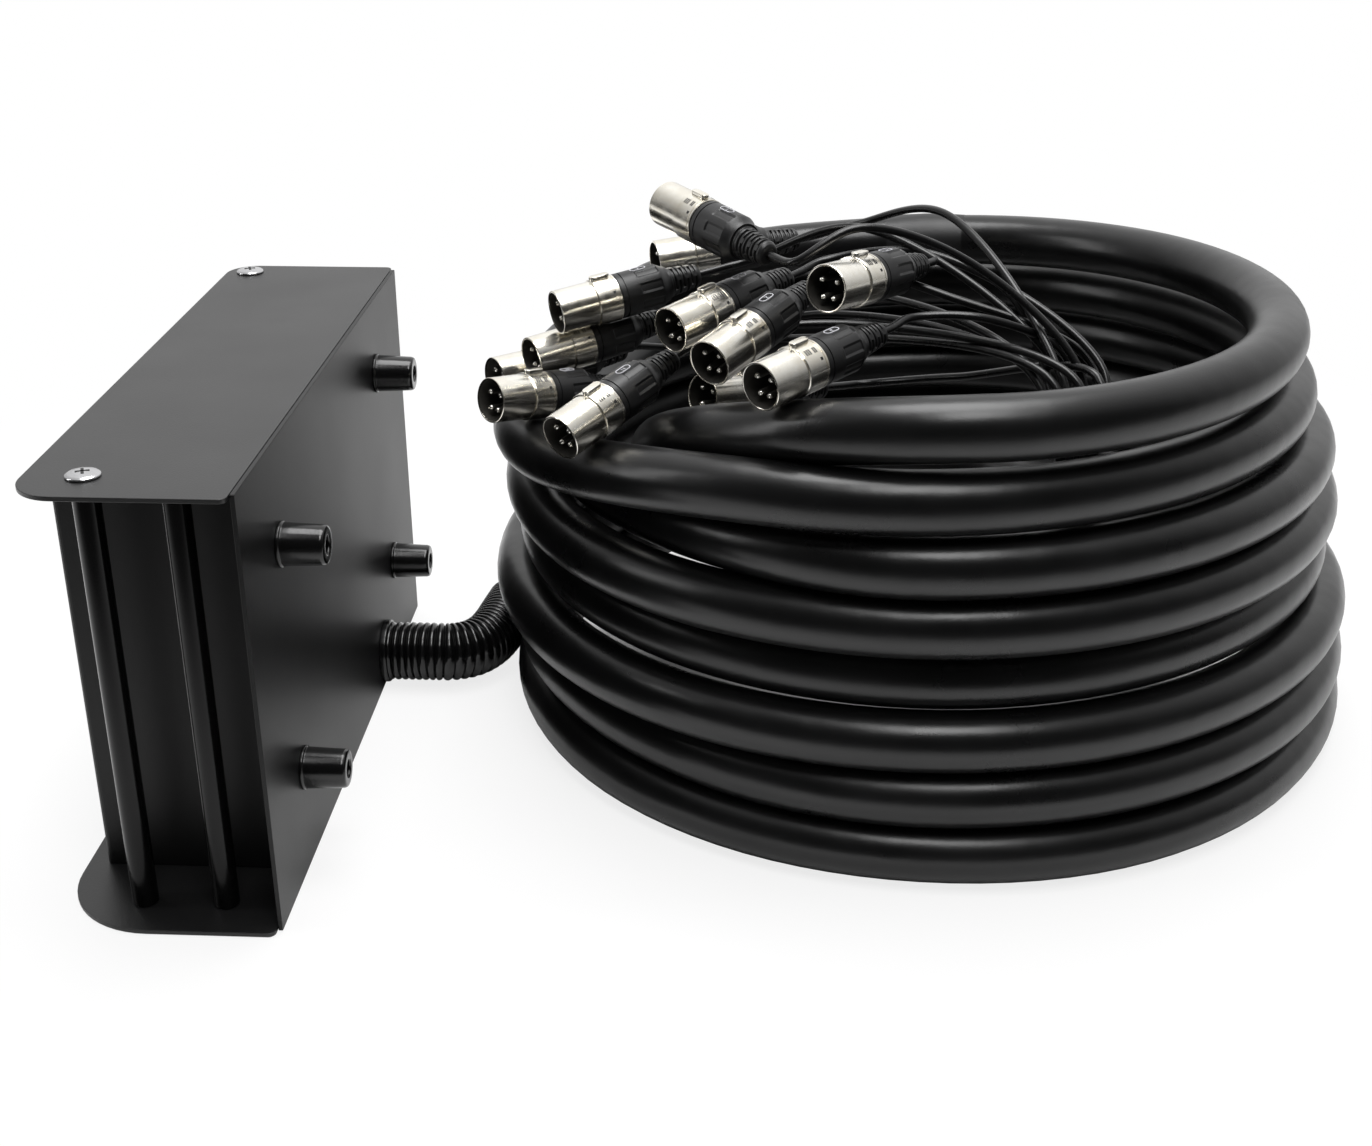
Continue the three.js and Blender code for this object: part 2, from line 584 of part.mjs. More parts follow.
// Where each plug lies: the middle of its mouth as shares of the coil's radius, from the
// coil's middle, and of its height; the way it points; and its lead's way to the bundle
const plugShares = {
	plug_01: { mouth: [-0.654, -0.266, 1.202], aim: [0.65, -0.75, -0.12],
		via: [[-0.344, -0.625, 1.164], [-0.202, -0.589, 1.224], [0.056, -0.542, 1.149]] },
	plug_02: { mouth: [-0.926, -0.319, 0.977], aim: [0.885, 0.444, 0.137],
		via: [[-0.455, -0.095, 1.043], [-0.179, -0.236, 1.149]] },
	plug_03: { mouth: [-0.696, -0.078, 1.033], aim: [0.93, 0.33, 0.08],
		via: [[-0.179, 0.081, 1.088], [0.027, -0.178, 1.169]] },
	plug_04: { mouth: [-0.626, -0.631, 1.025], aim: [0.695, 0.707, 0.131],
		via: [[-0.261, -0.272, 1.088], [-0.014, -0.342, 1.118]] },
	plug_05: { mouth: [-0.531, -0.795, 1.004], aim: [0.577, 0.788, 0.214],
		via: [[-0.226, -0.395, 1.099], [0.009, -0.472, 1.064]] },
	plug_06: { mouth: [-0.416, -0.986, 1.015], aim: [0.687, 0.721, 0.092],
		via: [[-0.073, -0.613, 1.053], [0.104, -0.601, 1.048]] },
	plug_07: { mouth: [-0.276, -0.734, 1.138], aim: [0.602, 0.795, -0.07],
		via: [[0.021, -0.336, 1.108], [0.162, -0.46, 1.068]] },
	plug_08: { mouth: [-0.991, -0.328, 0.877], aim: [0.826, 0.554, 0.105],
		via: [[-0.532, -0.048, 0.912], [-0.208, -0.178, 0.997]] },
	plug_09: { mouth: [-1.094, -0.272, 0.815], aim: [0.8, 0.6, 0.02],
		via: [[-0.638, 0.046, 0.806], [-0.267, -0.107, 0.927]] },
	plug_10: { mouth: [-1.064, -0.546, 0.848], aim: [0.71, 0.68, -0.13],
		via: [[-0.679, -0.178, 0.836], [-0.326, -0.201, 0.897]] },
	plug_11: { mouth: [-0.865, -0.831, 0.86], aim: [0.62, 0.744, 0.248],
		via: [[-0.532, -0.442, 0.962], [-0.208, -0.384, 0.977]] },
	plug_12: { mouth: [-0.555, -0.554, 0.866], aim: [0.75, 0.64, -0.15],
		via: [[-0.149, -0.236, 0.806], [0.056, -0.384, 0.866]] },
};
const bundleShare = [0.28, -0.636, 0.957];
const BUNDLE_SPREAD_SHARE = 2.3;

// Coil: each turn's radius and middle at the front, the height added there, and what the
// left side takes off the radius and the height, as shares
const turnRadiusShares = [1.041, 1.076, 1.082, 1, 1.018, 1.006, 0.976, 0.976];
const turnMiddleXShares = [0.045, 0.027, 0.009, 0.009, -0.002, -0.026, -0.073, -0.032];
const turnMiddleYShares = [-0.007, 0.034, 0.04, 0.016, -0.031, -0.048, -0.078, -0.078];
const turnLiftShares = [0, 0, 0, 0, 0, 0, 0.025, 0.172];
const leftInShares = [-0.018, 0.03, -0.012, -0.006, -0.006, 0.13, -0.006];
const leftDownShares = [0, 0, 0.01, 0.01, 0.04, 0.5, 1];

// Short drops of the coil, as [middle and half length in turns, depth as a share]
const dropShares = [[3, 0.2, 0.09], [5.12, 0.12, 0.07]];

// Phases of the coil: parts of each turn from its front, then turns from the lowest front
const WOUND_TURNS = 7;
const leftInRise = [0, 0.16];
const leftInFall = [0.25, 0.55];
const leftDownRise = [0.05, 0.25];
const leftDownFall = [0.25, 0.45];
const entryPhase = [-0.5, -0.14];
const backInPhase = [6.36, 6.5];
const backOutPhase = [6.7, 7];
const innerPhase = [6.97, 7.3];
const dropPhase = [6.98, 7.4];
const entryOffsetShare = 1.18;
const climbShare = 1.6;
const backInShare = 0.088;
const innerRadiusShare = 0.588;
const innerDropShare = 4.7;
const innerEndShares = [
	[0.533, -0.295, 0.383], [0.474, -0.484, 0.423], [0.409, -0.613, 0.524], [0.362, -0.672, 0.645],
];
const COIL_HEIGHT = CABLE_DIAMETER + WOUND_TURNS * TURN_PITCH;

const coilPlace = ([x, y, z]) =>
	new THREE.Vector3(COIL_X + x * COIL_RADIUS, COIL_Y + y * COIL_RADIUS, z * COIL_HEIGHT);

function between(table, turn) {
	const at = Math.min(Math.max(turn, 0), table.length - 1);
	const first = Math.floor(at);
	const second = Math.min(first + 1, table.length - 1);
	return table[first] + (table[second] - table[first]) * smooth(at - first);
}

// A point of the coil, by turns from the front of the lowest turn, clockwise from above
function coilPoint(turn) {
	const angle = -Math.PI / 2 - 2 * Math.PI * turn;
	const whole = Math.min(Math.max(Math.floor(turn), 0), leftInShares.length - 1);
	const part = turn - Math.floor(turn);
	const wound = turn > 0 && turn < WOUND_TURNS ? 1 : 0;
	const leftIn = wound * rise(part, leftInRise) * (1 - rise(part, leftInFall));
	const leftDown = wound * rise(part, leftDownRise) * (1 - rise(part, leftDownFall));
	const drop = dropShares.reduce((sum, [middle, reach, depth]) =>
		sum + depth * smooth(1 - Math.abs(turn - middle) / reach), 0);
	let radius = COIL_RADIUS * (between(turnRadiusShares, turn) - leftInShares[whole] * leftIn);
	radius += CABLE_DIAMETER * entryOffsetShare * (1 - rise(turn, entryPhase));
	radius -= COIL_RADIUS * backInShare * rise(turn, backInPhase) * (1 - rise(turn, backOutPhase));
	radius += (COIL_RADIUS * innerRadiusShare - radius) * rise(turn, innerPhase);
	const climbing = Math.min(Math.max(turn, 0), WOUND_TURNS);
	const wave = climbShare * Math.sin(2 * Math.PI * climbing) / (2 * Math.PI);
	const climbed = Math.max(climbing - wave, 0);
	let height = CABLE_DIAMETER / 2 + TURN_PITCH * climbed
		+ CABLE_DIAMETER * (between(turnLiftShares, turn) - leftDownShares[whole] * leftDown - drop);
	height = Math.max(height, CABLE_DIAMETER / 2);
	height -= CABLE_DIAMETER * innerDropShare * rise(turn, dropPhase);
	return new THREE.Vector3(
		COIL_X + COIL_RADIUS * between(turnMiddleXShares, turn) + radius * Math.cos(angle),
		COIL_Y + COIL_RADIUS * between(turnMiddleYShares, turn) + radius * Math.sin(angle),
		height);
}

function coilLine() {
	const points = [];
	const steps = Math.round((COIL_TURNS + 0.5) * STEPS_PER_TURN);
	for (let i = 0; i <= steps; i++) points.push(coilPoint(-0.5 + i / STEPS_PER_TURN));
	return points.concat(innerEndShares.map(coilPlace));
}

// Least gap of the coil to itself, leaving out the nearest half turn
function leastGap(points) {
	const apart = STEPS_PER_TURN / 2;
	let least = Infinity;
	for (let i = 0; i < points.length; i++) {
		for (let j = i + apart; j < points.length; j++) {
			least = Math.min(least, points[i].distanceTo(points[j]));
		}
	}
	return least - CABLE_DIAMETER;
}

const coilPoints = coilLine();
const coilEnd = coilPoints[coilPoints.length - 1];
const coilEndAim = coilEnd.clone().sub(coilPoints[coilPoints.length - 2]).normalize();
const coilStart = coilPoints[0];
const coilStartAim = coilPoints[1].clone().sub(coilStart).normalize();

function cableCoil() {
	const rings = framesAlong(coilPoints)
		.map((frame) => ring(frame, CABLE_DIAMETER / 2, COIL_SIDES));
	return skinned(rings, false);
}

// Heat-shrink sleeve round the top turn, at the back
function heatShrinkSleeve() {
	const step = Math.round((SLEEVE_TURN + 0.5) * STEPS_PER_TURN - 0.5);
	const middle = coilPoints[step].clone().lerp(coilPoints[step + 1], 0.5);
	const aim = coilPoints[step + 1].clone().sub(coilPoints[step]).normalize();
	const points = [-0.5, 0.5].map((share) => middle.clone().addScaledVector(aim, share * SLEEVE_LENGTH));
	const frames = framesAlong(points);
	const inner = CABLE_BORE / 2 + SEAT_GAP;
	const outer = inner + SLEEVE_WALL;
	const outside = frames.map((frame) => ring(frame, outer, SOCKET_SIDES));
	const inside = frames.map((frame) => ring(frame, inner, SOCKET_SIDES)).reverse();
	return skinned([...outside, ...inside], true);
}

// Hose and lead: points from the gland's mouth to the coil's start, chosen by hand,
// as shares of the way between them along X and Y, and heights of the axis
const hoseShares = [
	[0, 0], [0.04, 0], [0.08, 0], [0.112, 0.006], [0.146, 0.03], [0.17, 0.074], [0.184, 0.13],
	[0.192, 0.193], [0.2, 0.256],
];
const hoseHeightShares = [1, 1, 1, 0.96, 0.91, 0.88, 0.88, 0.88, 0.88];
const leadShares = [
	[0.216, 0.377], [0.265, 0.52], [0.344, 0.668], [0.451, 0.803], [0.581, 0.906],
	[0.723, 0.969], [0.81, 1.018],
];

const leadPlace = ([x, y], height) => new THREE.Vector3(
	HOSE_START_X + x * (coilStart.x - HOSE_START_X), GLAND_Y + y * (coilStart.y - GLAND_Y), height);

const hosePoints = hoseShares.map((share, i) => leadPlace(share, hoseHeightShares[i] * GLAND_Z));
const hoseEnd = hosePoints[hosePoints.length - 1];
const hoseEndAim = hoseEnd.clone().sub(hosePoints[hosePoints.length - 2]).normalize();

function ribbedHose() {
	const path = new THREE.CatmullRomCurve3(hosePoints, false, 'centripetal');
	const ribs = Math.round(path.getLength() / RIB_PITCH);
	const line = path.getSpacedPoints(2 * ribs);
	const frames = framesAlong(line);
	const crest = HOSE_DIAMETER / 2;
	const outside = frames.map((frame, i) => ring(frame, i % 2 ? crest : crest - RIB_DEPTH, HOSE_SIDES));
	const boreStep = 2 * RIBS_PER_BORE_RING;
	const inside = frames.filter((frame, i) => i % boreStep === 0 || i === 2 * ribs)
		.map((frame) => ring(frame, CABLE_BORE / 2, HOSE_SIDES)).reverse();
	return skinned([...outside, ...inside], true);
}

function trunkLead() {
	const start = hoseEnd.clone().addScaledVector(hoseEndAim, SEAT_GAP);
	const straight = [0.5, 1].map((share) =>
		start.clone().addScaledVector(hoseEndAim, share * CABLE_DIAMETER));
	const end = coilStart.clone().addScaledVector(coilStartAim, -SEAT_GAP);
	const before = [1, 0.5].map((share) =>
		end.clone().addScaledVector(coilStartAim, -share * CABLE_DIAMETER));
	const middle = leadShares.map((share) => leadPlace(share, CABLE_DIAMETER / 2));
	return cordTube([start, ...straight, ...middle, ...before, end],
		CABLE_DIAMETER, CABLE_SIDES, TRUNK_LEAD_STEPS);
}

// Breakout sleeve over the cable's end, fused with the twelve thin leads that leave it
function channelLeads(plugGroups) {
	const root = coilEnd.clone().addScaledVector(coilEndAim, -BREAKOUT_OVERLAP);
	const turn = new THREE.Quaternion().setFromUnitVectors(new THREE.Vector3(0, 0, 1), coilEndAim);
	const bore = CABLE_BORE / 2 + CABLE_CLEARANCE;
	const outer = bore + BREAKOUT_WALL;
	const top = BREAKOUT_TOP_DIAMETER / 2;
	const floor = BREAKOUT_OVERLAP + SEAT_GAP;
	const sleeve = turned([
		[0, floor], [bore, floor], [bore, 0], [outer, 0], [outer, floor + BREAKOUT_WALL],
		[top, BREAKOUT_LENGTH - BREAKOUT_WALL], [top - BREAKOUT_WALL, BREAKOUT_LENGTH],
		[0, BREAKOUT_LENGTH],
	], ROUND_SIDES).applyQuaternion(turn).translate(root.x, root.y, root.z);
	const leads = Object.entries(plugShares).map(([name, { aim, via }], i) => {
		const core = i < CORE_LEADS;
		const spread = core ? CORE_SPREAD : OUTER_SPREAD;
		const angle = 2 * Math.PI * (core ? i / CORE_LEADS : (i - CORE_LEADS) / (CHANNELS - CORE_LEADS));
		const offset = new THREE.Vector3(spread * Math.cos(angle), spread * Math.sin(angle), 0);
		const local = (height) => offset.clone().setZ(height).applyQuaternion(turn).add(root);
		const exit = new THREE.Vector3(0, 0, PLUG_LENGTH + SEAT_GAP)
			.applyMatrix4(plugGroups[name].matrixWorld);
		const direction = new THREE.Vector3(...aim).normalize();
		const bundle = coilPlace(bundleShare).addScaledVector(offset, BUNDLE_SPREAD_SHARE);
		return cordTube([
			exit, exit.clone().addScaledVector(direction, 2 * LEAD_DIAMETER), ...via.map(coilPlace),
			bundle, local(BREAKOUT_LENGTH + LEAD_DIAMETER), local(BREAKOUT_LENGTH - LEAD_ROOT_DEPTH),
		], LEAD_DIAMETER, LEAD_SIDES, LEAD_STEPS);
	});
	return joined(sleeve, ...leads);
}

// Box
const box = new THREE.Group();
stage.add(box);
place(box, 'lower_side_plate', lowerPlate(), plateCoat);
place(box, 'upper_side_plate', upperPlate(), plateCoat);
place(box, 'connector_panel', connectorPanel(), chassisCoat);
place(box, 'base_cover', baseCover(), chassisCoat);
for (const [name, x, y, topScrew] of barPlaces) {
	place(box, `handle_bar_${name}`, handleBar(topScrew), chassisCoat).position.set(x, y, 0);
	place(box, `flush_screw_${name}`, flushScrew(), darkScrew).position.set(x, y, 0);
	if (topScrew) place(box, `domed_screw_${name}`, domedScrew(), chrome).position.set(x, y, 0);
}
for (const [name, [along, up]] of Object.entries(footPlaceShares)) {
	place(box, `rubber_foot_${name}`, foot(), rubber)
		.position.set(COVER_FACE_X + SEAT_GAP, along * HALF_LENGTH, up * BOX_HEIGHT);
}
place(box, 'cable_gland', cableGland(), hosePlastic).position.set(COVER_FACE_X, GLAND_Y, GLAND_Z);

// Sockets and latches, numbered along each row from the top
const outward = new THREE.Matrix4().makeBasis(
	new THREE.Vector3(0, -1, 0), new THREE.Vector3(0, 0, 1), new THREE.Vector3(-1, 0, 0));
for (let row = 0; row < SOCKET_ROWS; row++) {
	for (let column = 0; column < SOCKET_COLUMNS; column++) {
		const channel = String(row * SOCKET_COLUMNS + column + 1).padStart(2, '0');
		const seat = new THREE.Group();
		seat.quaternion.setFromRotationMatrix(outward);
		seat.position.set(PANEL_FACE_X, socketY(column), socketZ(row));
		box.add(seat);
		place(seat, `socket_${channel}`, socket(), socketBlack);
		place(seat, `push_latch_${channel}`, pushLatch(), latchSteel);
	}
}

// Plugs, each turned so that its top faces up as far as it can
const plugGroups = {};
for (const [name, { mouth, aim }] of Object.entries(plugShares)) {
	const forward = new THREE.Vector3(...aim).normalize();
	const sideways = new THREE.Vector3(0, 0, 1).cross(forward).normalize();
	const upward = forward.clone().cross(sideways);
	const group = new THREE.Group();
	group.quaternion.setFromRotationMatrix(new THREE.Matrix4().makeBasis(sideways, upward, forward));
	group.position.copy(coilPlace(mouth));
	stage.add(group);
	group.updateMatrixWorld();
	place(group, name, plug(), nickel);
	plugGroups[name] = group;
}

// Cable
place(stage, 'strain_relief_hose', ribbedHose(), hosePlastic);
place(stage, 'trunk_lead', trunkLead(), jacket);
place(stage, 'cable_coil', cableCoil(), jacket);
place(stage, 'heat_shrink_sleeve', heatShrinkSleeve(), shrink);
place(stage, 'channel_leads', channelLeads(plugGroups), jacket);
console.log(`least gap of the coil to itself: ${leastGap(coilPoints).toFixed(2)} mm`);

export default stage;
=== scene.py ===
# Looks of the stage box snake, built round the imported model.
# Sizes are in millimetres and are turned into metres where a mesh is made.

import json
import math

import bmesh
import bpy
from mathutils import Matrix, Vector
from mathutils.noise import noise

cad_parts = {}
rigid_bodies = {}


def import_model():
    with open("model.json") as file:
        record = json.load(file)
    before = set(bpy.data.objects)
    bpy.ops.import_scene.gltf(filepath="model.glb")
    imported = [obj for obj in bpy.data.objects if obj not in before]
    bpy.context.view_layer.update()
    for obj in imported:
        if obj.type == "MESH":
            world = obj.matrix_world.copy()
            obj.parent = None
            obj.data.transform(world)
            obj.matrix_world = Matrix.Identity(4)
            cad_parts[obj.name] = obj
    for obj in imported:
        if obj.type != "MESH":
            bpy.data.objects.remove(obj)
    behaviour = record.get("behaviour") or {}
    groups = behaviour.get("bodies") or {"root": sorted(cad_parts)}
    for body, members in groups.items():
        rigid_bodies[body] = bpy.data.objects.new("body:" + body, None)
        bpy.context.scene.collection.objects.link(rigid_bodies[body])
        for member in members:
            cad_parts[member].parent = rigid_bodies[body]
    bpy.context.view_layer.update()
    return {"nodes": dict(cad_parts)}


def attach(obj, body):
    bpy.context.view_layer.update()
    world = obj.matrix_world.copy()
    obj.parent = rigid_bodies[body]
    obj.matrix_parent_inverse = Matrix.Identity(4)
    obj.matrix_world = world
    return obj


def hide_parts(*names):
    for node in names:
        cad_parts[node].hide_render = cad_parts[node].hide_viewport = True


for leftover in list(bpy.data.objects):
    bpy.data.objects.remove(leftover)
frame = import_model()
nodes = frame["nodes"]
MM = 0.001
UP = Vector((0, 0, 1))

# Camera, as fitted to the photo
CAMERA_PLACE = Vector((222.73, -714.92, 418.54))
CAMERA_YAW = -0.0487
CAMERA_PITCH = 0.4327
CAMERA_ROLL = -0.0014
CAMERA_LENS = 48.23
SENSOR_WIDTH = 36

# Box sizes, as in the source
BOX_HEIGHT = 180
BOX_LENGTH = 294.4
BOX_WIDTH = 81
PLATE_THICKNESS = 1.8
COVER_THICKNESS = 1.7
SEAT_GAP = 0.3
UPPER_PLATE_INSET = 1.5
LOWER_PLATE_OVERHANG = 7.9
UPPER_NEAR_CORNER = 16.7
UPPER_FAR_CORNER = 13.7
LOWER_LEFT_CORNER = 37
RIGHT_CORNER = 3
COVER_END_INSET = 4.4
HALF_LENGTH = BOX_LENGTH / 2
PANEL_FACE_X = -BOX_WIDTH / 2
COVER_FACE_X = BOX_WIDTH / 2
COVER_INNER_X = COVER_FACE_X - COVER_THICKNESS

# Cable, hose and coil, as in the source
CABLE_DIAMETER = 24.2
TURN_GAP = 0.7
TURN_PITCH = CABLE_DIAMETER + TURN_GAP
COIL_RADIUS = 170
COIL_X = 289.5
COIL_Y = 83
COIL_TURNS = 7.75
WOUND_TURNS = 7
COIL_HEIGHT = CABLE_DIAMETER + WOUND_TURNS * TURN_PITCH
GLAND_Y = 61.8
GLAND_Z = 15.5
GLAND_RIM = 3
CABLE_INSIDE = 4
HOSE_START_X = COVER_FACE_X + 2 * SEAT_GAP + GLAND_RIM
HOSE_DIAMETER = 27
HOSE_SLACK = 0.35
RIB_PITCH = 3.3
RIB_FULLNESS = 0.7
SLEEVE_TURN = 6.52
SLEEVE_LENGTH = 36
LEAD_DIAMETER = 3.3
BREAKOUT_LENGTH = 46
BREAKOUT_OVERLAP = 18
PLUG_LENGTH = 66

# How finely forms are cut, and which corners and points are told apart
CABLE_SIDES = 40
HOSE_SIDES = 32
LEAD_SIDES = 14
STEPS_PER_TURN = 96
CABLE_STEP = 6
LEAD_STEP = 3
BEVEL_CORNER = math.radians(50)
WELD_DISTANCE = 1e-7


# Camera
def make_camera():
    look = Vector((math.sin(CAMERA_YAW) * math.cos(CAMERA_PITCH),
                   math.cos(CAMERA_YAW) * math.cos(CAMERA_PITCH), -math.sin(CAMERA_PITCH)))
    level = Vector((math.cos(CAMERA_YAW), -math.sin(CAMERA_YAW), 0))
    above = level.cross(look)
    right = level * math.cos(CAMERA_ROLL) + above * math.sin(CAMERA_ROLL)
    top = above * math.cos(CAMERA_ROLL) - level * math.sin(CAMERA_ROLL)
    data = bpy.data.cameras.new("camera")
    data.lens = CAMERA_LENS
    data.sensor_fit = "HORIZONTAL"
    data.sensor_width = SENSOR_WIDTH
    camera = bpy.data.objects.new("camera", data)
    turn = Matrix((right, top, -look)).transposed().to_4x4()
    camera.matrix_world = Matrix.Translation(CAMERA_PLACE * MM) @ turn
    bpy.context.scene.collection.objects.link(camera)
    bpy.context.scene.camera = camera


make_camera()


# Small sums
def smooth(share):
    t = min(max(share, 0), 1)
    return t * t * (3 - 2 * t)


def mixed(a, b, share):
    return a + (b - a) * share


def rise(at, span):
    return smooth((at - span[0]) / (span[1] - span[0]))


# Point as far between two others as a value lies between their knots
def knot_mixed(p, q, low, high, at):
    return p * ((high - at) / (high - low)) + q * ((at - low) / (high - low))


# Smooth line through chosen points, cut into short equal steps
def smooth_line(points, step):
    ends = [2 * points[0] - points[1], *points, 2 * points[-1] - points[-2]]
    line = []
    for a, b, c, d in zip(ends, ends[1:], ends[2:], ends[3:]):
        knots = [0]
        for p, q in ((a, b), (b, c), (c, d)):
            knots.append(knots[-1] + max((q - p).length, 1e-6) ** 0.5)
        first, second, third, fourth = knots
        count = max(2, round((c - b).length / step) * 3)
        for i in range(count):
            at = mixed(second, third, i / count)
            ab = knot_mixed(a, b, first, second, at)
            bc = knot_mixed(b, c, second, third, at)
            cd = knot_mixed(c, d, third, fourth, at)
            abc = knot_mixed(ab, bc, first, third, at)
            bcd = knot_mixed(bc, cd, second, fourth, at)
            line.append(knot_mixed(abc, bcd, second, third, at))
    line.append(points[-1])
    return respaced(line, step)


def line_length(points):
    return sum((b - a).length for a, b in zip(points, points[1:]))


# Same line with points at equal steps
def respaced(points, step):
    total = line_length(points)
    count = max(2, round(total / step))
    made = [points[0]]
    walked, index = 0, 0
    for k in range(1, count):
        goal = total * k / count
        while walked + (points[index + 1] - points[index]).length < goal:
            walked += (points[index + 1] - points[index]).length
            index += 1
        rest = (goal - walked) / (points[index + 1] - points[index]).length
        made.append(points[index].lerp(points[index + 1], rest))
    made.append(points[-1])
    return made


# Frames carried along a line without twist, as point, up and across
def frames_along(points):
    made = []
    side = UP.copy()
    for i, point in enumerate(points):
        tangent = (points[min(i + 1, len(points) - 1)] - points[max(i - 1, 0)]).normalized()
        side = (side - tangent * side.dot(tangent)).normalized()
        made.append((point, side, tangent.cross(side)))
    return made


# Meshes. A form is a pair of vertex list and face list.
def merged(*forms):
    verts, faces = [], []
    for form_verts, form_faces in forms:
        first = len(verts)
        verts += form_verts
        faces += [[first + k for k in face] for face in form_faces]
    return verts, faces


def moved(form, matrix):
    return [matrix @ v for v in form[0]], form[1]


# Tube through rings of equal counts, with its ends closed if they have caps
def skin(rings, caps=True):
    sides = len(rings[0])
    last = (len(rings) - 1) * sides
    verts = [v for ring in rings for v in ring]
    faces = []
    for low in range(0, last, sides):
        high = low + sides
        for j in range(sides):
            k = (j + 1) % sides
            faces.append([low + j, low + k, high + k, high + j])
    if caps:
        faces.append(list(range(sides))[::-1])
        faces.append([last + j for j in range(sides)])
    return verts, faces


# Tube along a line, with one radius or a radius for each step and angle
def swept(points, radius, sides, caps=True):
    rings = []
    for i, (point, up, across) in enumerate(frames_along(points)):
        ring = []
        for j in range(sides):
            angle = 2 * math.pi * j / sides
            size = radius(i, angle) if callable(radius) else radius
            ring.append(point + (up * math.cos(angle) + across * math.sin(angle)) * size)
        rings.append(ring)
    return skin(rings, caps)


# Turned form about the Z axis, from pairs of radius and height
def turned(profile, sides):
    verts, faces, rows = [], [], []
    for radius, height in profile:
        if radius == 0:
            rows.append([len(verts)])
            verts.append(Vector((0, 0, height)))
        else:
            rows.append(list(range(len(verts), len(verts) + sides)))
            for j in range(sides):
                angle = 2 * math.pi * j / sides
                verts.append(Vector((radius * math.cos(angle), radius * math.sin(angle), height)))
    for low, high in zip(rows, rows[1:]):
        for j in range(sides):
            k = (j + 1) % sides
            if len(low) == 1:
                faces.append([low[0], high[k], high[j]])
            elif len(high) == 1:
                faces.append([low[j], low[k], high[0]])
            else:
                faces.append([low[j], low[k], high[k], high[j]])
    return verts, faces


# Profile with its corners rounded, for turned forms
def rounded(profile, radius, steps=4):
    made = [profile[0]]
    for before, corner, after in zip(profile, profile[1:], profile[2:]):
        a, c, b = Vector(before), Vector(corner), Vector(after)
        reach = min(radius, (a - c).length * 0.45, (b - c).length * 0.45)
        start, end = c + (a - c).normalized() * reach, c + (b - c).normalized() * reach
        for i in range(steps + 1):
            t = i / steps
            spot = start * (1 - t) ** 2 + c * 2 * t * (1 - t) + end * t * t
            made.append((max(spot.x, 0), spot.y))
    made.append(profile[-1])
    return made


def box_form(x0, x1, y0, y1, z0, z1):
    corners = [Vector((x, y, z)) for z in (z0, z1) for x, y in ((x0, y0), (x1, y0), (x1, y1), (x0, y1))]
    return corners, [[3, 2, 1, 0], [4, 5, 6, 7], [0, 1, 5, 4], [1, 2, 6, 5], [2, 3, 7, 6], [3, 0, 4, 7]]


def arc(cx, cy, radius, start, end, steps):
    return [(cx + radius * math.cos(mixed(start, end, i / steps)),
             cy + radius * math.sin(mixed(start, end, i / steps))) for i in range(steps + 1)]


# Rectangle with four corner radii, in the order near left, near right, far right, far left
def rounded_outline(x0, x1, y0, y1, radii, steps=14):
    a, b, c, d = radii
    quarter = math.pi / 2
    return [*arc(x0 + a, y0 + a, a, 2 * quarter, 3 * quarter, steps),
            *arc(x1 - b, y0 + b, b, 3 * quarter, 4 * quarter, steps),
            *arc(x1 - c, y1 - c, c, 0, quarter, steps),
            *arc(x0 + d, y1 - d, d, quarter, 2 * quarter, steps)]


# Form of a curve, which is then removed
def form_of_curve(curve):
    holder = bpy.data.objects.new(curve.name, curve)
    bpy.context.scene.collection.objects.link(holder)
    mesh = bpy.data.meshes.new_from_object(holder.evaluated_get(bpy.context.evaluated_depsgraph_get()))
    form = [v.co.copy() for v in mesh.vertices], [list(p.vertices) for p in mesh.polygons]
    bpy.data.objects.remove(holder)
    bpy.data.curves.remove(curve)
    bpy.data.meshes.remove(mesh)
    return form


# Flat plate with holes and a small bevel, lying on Z
def plate_form(outlines, z0, z1, bevel):
    curve = bpy.data.curves.new("plate", "CURVE")
    curve.dimensions = "2D"
    curve.fill_mode = "BOTH"
    curve.extrude = (z1 - z0) / 2 - bevel
    curve.bevel_depth = bevel
    curve.bevel_resolution = 2
    curve.offset = -bevel
    for outline in outlines:
        spline = curve.splines.new("POLY")
        spline.points.add(len(outline) - 1)
        for point, (x, y) in zip(spline.points, outline):
            point.co = (x, y, 0, 1)
        spline.use_cyclic_u = True
    return moved(form_of_curve(curve), Matrix.Translation((0, 0, (z0 + z1) / 2)))


# Plain text lying on Z
def digits_form(text, size, height):
    curve = bpy.data.curves.new("digits", "FONT")
    curve.body = text
    curve.size = size
    curve.align_x = "CENTER"
    curve.align_y = "CENTER"
    curve.extrude = height
    curve.resolution_u = 3
    return form_of_curve(curve)


# Copy of forms and their materials, put in a place
def placed(parts, at):
    return [(moved(form, at), material) for form, material in parts]


